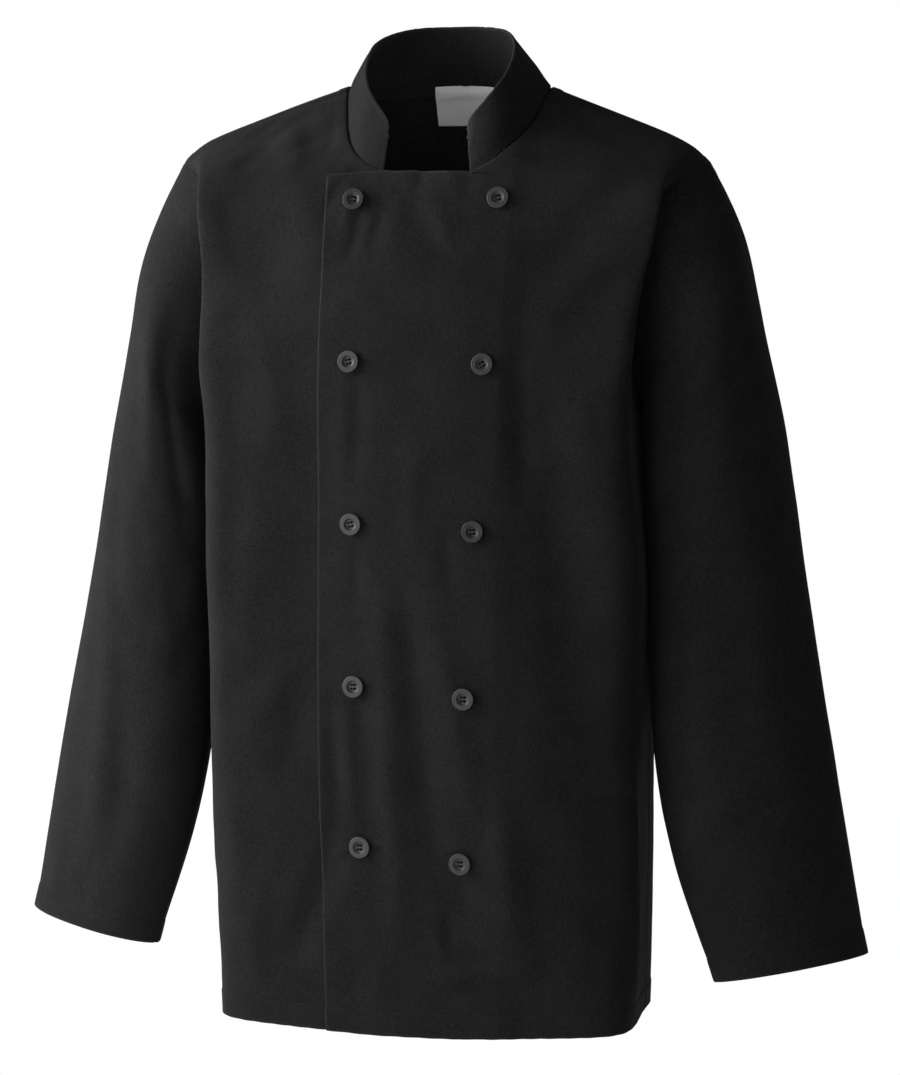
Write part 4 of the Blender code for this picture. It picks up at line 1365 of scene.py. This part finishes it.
def buttonhole(surface, x, z):
    """The thread round one flat buttonhole: short cords side by side, and a bar at each end."""
    runs = []
    middle = front_place(x, z)
    ahead, above, facing = front_directions(x, z, 9)

    def laid(along, over, lift):
        start = middle + ahead * along + above * over + facing * 12
        hit = surface.ray_cast(Vector(start), Vector(-facing), 30.0)[0]
        ground = np.array(hit) if hit is not None else start - facing * 12
        return ground + facing * lift

    for k in range(SLIT_CORDS):
        along = SLIT_START + SLIT_LENGTH * (k + 0.5) / SLIT_CORDS
        for over in (-1, 1):
            uneven = 0.12 * math.sin(5.1 * k + 2 * over)
            inner = laid(along, over * 0.16, -0.05)
            outer = laid(along + 0.1, over * (1.25 + uneven), 0.0)
            runs.append(lofted(inner, outer, 0.25, 0, 6, 1))
    for along in (SLIT_START, SLIT_START + SLIT_LENGTH):
        for k in (-0.4, 0.0, 0.4):
            low, high = (laid(along + k, over, 0.02) for over in (-1.4, 1.4))
            runs.append(lofted(low, high, 0.26, 0, 6, 2))
    return runs


def surface_of(*items):
    """The faces of these pieces, in millimetres, to measure against."""
    points, faces, start = [], [], 0
    for item in items:
        points += [vertex.co / MM for vertex in item.data.vertices]
        faces += [[corner + start for corner in face.vertices] for face in item.data.polygons]
        start += len(item.data.vertices)
    return BVHTree.FromPolygons(points, faces)


def front_button(name, material, x, z, degrees):
    """Seats one button on the left front, and gives back its seat and its rotation."""
    here = front_place(x, z)
    radius = BUTTON_DIAMETER / 2
    facing = front_directions(x, z, radius)[2]
    # The button rests on the highest cloth beneath it, within a fold's height.
    apart = front_points - here
    along_face = apart @ facing
    flat = np.linalg.norm(apart - along_face[:, None] * facing, axis=1)
    proud = float(along_face[(flat < radius + 1.5) & (np.abs(along_face) < FOLD_REACH)].max())
    seat = here + facing * (proud + BUTTON_SEAT)
    turn = Vector(facing).to_track_quat("Z", "Y").to_matrix().to_4x4()
    spin = Matrix.Rotation(math.radians(degrees), 4, "Z")
    item = linked(f"{name}_detail", mesh_button.copy())
    item.matrix_world = Matrix.Translation(Vector(seat) * MM) @ turn @ spin
    dress(item, material, name)
    return seat, np.array(item.matrix_world.to_3x3())


mesh_button = button_data()
mesh_button.materials.clear()
shank_points, shank_quads = button_thread()
thread_runs, hole_runs = [], []
surface = surface_of(cloth["front_left"])
for side, top_x, bottom_x, top_z, pitch in BUTTON_COLUMNS:
    for row in range(BUTTON_ROWS):
        z = top_z - pitch * row
        x = top_x + (bottom_x - top_x) * row / (BUTTON_ROWS - 1)
        if side == "right":
            hole_runs += buttonhole(surface, x, z)
        number = len(thread_runs)
        look = dark_plastic if number in DARK_BUTTONS else plastic
        seat, rotation = front_button(f"button_{side}_{row + 1}", look, x, z, BUTTON_TURNS[number])
        thread_runs.append((shank_points @ rotation.T + seat, shank_quads))
threads = thread_mesh("button_threads", *joined(thread_runs), button_cotton)
buttonholes = thread_mesh("front_left_buttonholes", *joined(hole_runs), thread)


def build_label():
    """A bare woven label, sewn inside the back just under the collar seam."""
    lines = panel_lines(BACK_ROWS, np.linspace(NECK_A - 60, NECK_A + 20, 401), 0.0, back_middle)
    xs = np.linspace(-LABEL_WIDTH / 2, LABEL_WIDTH / 2, 41)
    places = np.linspace(LABEL_TOP, LABEL_TOP + LABEL_HEIGHT, 27)
    columns = []
    for x in xs:
        rows = [line[::-1] for line in lines if line[-1, 0] <= abs(x)]
        column = np.array([(x, *read_at([abs(x)], row[:, 0], row[:, 1:])[0]) for row in rows[::-1]])
        # Above the seam it follows the collar, which stands steeper than the back.
        rise = unit(0.4 * unit(column[0] - column[4]) + np.array((0, 0, 0.6)))
        columns.append(at_lengths(column, places) + np.maximum(-places, 0)[:, None] * rise)
    grid = np.array(columns).transpose(1, 0, 2)
    count, width = grid.shape[:2]
    points = grid.reshape(-1, 3)
    quads = grid_quads(np.arange(count * width).reshape(count, width))
    normals = vertex_normals(points, quads)
    if normals[:, 1].mean() > 0:
        quads, normals = quads[:, ::-1], -normals
    u, v = np.tile(xs, count), np.repeat(np.linspace(0, LABEL_HEIGHT, count), width)
    off = CLOTH + 0.75 + 0.25 * soft_noise(u, v, 14, 10, 71) + 0.5 * (v / LABEL_HEIGHT) ** 2
    off += 2.6 * (1 - ease(v, 3.0, 13.0))  # its top stands off, over the seam's turned-in cloth
    points = points + normals * off[:, None]
    plain = np.zeros(len(points))
    coords = np.column_stack([u, v])
    return shell("neck_label_satin", points, quads, coords, plain + LABEL_THICK, plain)


def seam_cord(line, one, other, spare=0.4, depth=0.45, closed=False, sides=10):
    """A seam's turned-in edges: a soft roll in the bottom of the seam, which closes it."""
    a, b = (np.array([side.find_nearest(Vector(spot))[0] for spot in line]) for side in (one, other))
    centre, reach = (a + b) / 2, np.linalg.norm(a - b, axis=1) / 2 + spare
    ahead = unit(np.gradient(line, axis=0))
    inward = centre - line
    inward = unit(inward - np.sum(inward * ahead, axis=1)[:, None] * ahead)
    if not closed:
        reach[[0, -1]] = 0.05
    rings = ring_points(centre + depth * inward, np.cross(ahead, inward), inward * 0.8, reach, sides)
    index = tube_index(len(line), sides)
    if closed:
        index = np.concatenate([index, index[:1]])
    return rings.reshape(-1, 3), grid_quads(index)


cords = []
body = surface_of(cloth["front_left"], cloth["front_right"], cloth["back"])
behind = surface_of(cloth["back"])
armhole_line = armhole_points(np.linspace(0, 360, 181)[:-1])
side_line = side_points(np.linspace(HEM_Z + 1.2, float(armhole_line[:, 2].min()) - 0.5, 260))
shoulder_line = panel_lines(FRONT_ROWS, np.array([TOP_A]), 0.0, front_middle)[0]
for side, name in ((LEFT, "left"), (RIGHT, "right")):
    mirror = np.array((side, 1, 1))
    front, sleeve = (surface_of(cloth[f"{kind}_{name}"]) for kind in ("front", "sleeve"))
    armhole = chest_drift(armhole_line * mirror)
    cords.append(seam_cord(armhole, sleeve, body, spare=1.8, depth=1.4, closed=True))
    for line in (side_line, shoulder_line):
        cords.append(seam_cord(hang(chest_drift(line * mirror)), front, behind))
seam_edges = thread_mesh("seam_edges", *joined(cords), twill)
label = dress(build_label(), label_satin, "neck_label")

# --- Floor, light and camera ----------------------------------------------------------------------------
# Here sizes are in metres and angles in degrees.
FLOOR_SIZE = 60
FLOOR_Z = -1.02  # the jacket hangs clear of it
FILL_LIGHT = 0.14
TARGET = Vector((0.0, 0.0, -0.370))
AZIMUTH = 15.5  # towards the wearer's left
ELEVATION = 5.5
DISTANCE = 4.4
LENS = 177.5
SIDE_SHIFT = 0.00249  # of the camera and its target, to the viewer's right
LIGHTS = (
    # name, place, target, size, watts
    ("key", (-1.22, -0.40, 0.13), (0, 0, -0.36), (1.0, 1.0), 30),
    ("left_front", (-0.70, -1.2, -0.50), (0, 0, -0.36), (1.0, 0.9), 5.2),
    ("front", (2.3, -4.4, -0.30), (0, 0, -0.38), (2.0, 1.2), 11.5),
    ("top", (0.1, -0.8, 1.5), (0, 0, -0.05), (1.2, 1.0), 2.5),
    ("neck", (0.0, -0.10, -0.01), (0.01, 0.06, 0.015), (0.06, 0.05), 0.038),
)


def camera_switch(tree, lighting, seen):
    """What is seen is one shader, and what lights the jacket is another."""
    path = add(tree, "ShaderNodeLightPath")
    either = add(tree, "ShaderNodeMixShader")
    tree.links.new(path.outputs["Is Camera Ray"], either.inputs[0])
    tree.links.new(lighting.outputs[0], either.inputs[1])
    tree.links.new(seen.outputs[0], either.inputs[2])
    output = next(node for node in tree.nodes if node.type.startswith("OUTPUT"))
    tree.links.new(either.outputs[0], output.inputs[0])


scene = bpy.context.scene
scene.view_settings.view_transform = "Standard"
scene.view_settings.look = "None"

bpy.ops.mesh.primitive_plane_add(size=FLOOR_SIZE, location=(0, 0, FLOOR_Z))
floor = bpy.context.object
floor.name = "floor"
floor_look, floor_tree, floor_shader = nodes_of("floor")
floor_shader.inputs["Base Color"].default_value = (0.92, 0.92, 0.92, 1)
floor_shader.inputs["Roughness"].default_value = 0.9
# The floor is as white as the backdrop where it is seen, so that no horizon shows.
camera_switch(floor_tree, floor_shader, add(floor_tree, "ShaderNodeEmission", Strength=1.0))
floor.data.materials.append(floor_look)

world = bpy.data.worlds.new("studio")
world.use_nodes = True
scene.world = world
tree = world.node_tree
fill = tree.nodes["Background"]
fill.inputs["Color"].default_value = (1, 1, 1, 1)
fill.inputs["Strength"].default_value = FILL_LIGHT
backdrop = add(tree, "ShaderNodeBackground", Color=(1, 1, 1, 1), Strength=1.0)
camera_switch(tree, fill, backdrop)


def area_light(name, place, target, size, power):
    data = bpy.data.lights.new(name, "AREA")
    data.shape = "RECTANGLE"
    data.size, data.size_y = size
    data.energy = power
    lamp = linked(name, data)
    lamp.location = place
    lamp.rotation_euler = (Vector(target) - Vector(place)).to_track_quat("-Z", "Y").to_euler()
    lamp.visible_camera = False


for light in LIGHTS:
    area_light(*light)

turn, rise = math.radians(AZIMUTH), math.radians(ELEVATION)
away = Vector((math.sin(turn) * math.cos(rise), -math.cos(turn) * math.cos(rise), math.sin(rise)))
right = Vector((math.cos(turn), math.sin(turn), 0))
aim = TARGET + right * SIDE_SHIFT
camera_data = bpy.data.cameras.new("camera")
camera_data.lens = LENS
camera_data.sensor_width = 36.0
camera = linked("camera", camera_data)
camera.location = aim + away * DISTANCE
camera.rotation_euler = (aim - camera.location).to_track_quat("-Z", "Y").to_euler()
scene.camera = camera
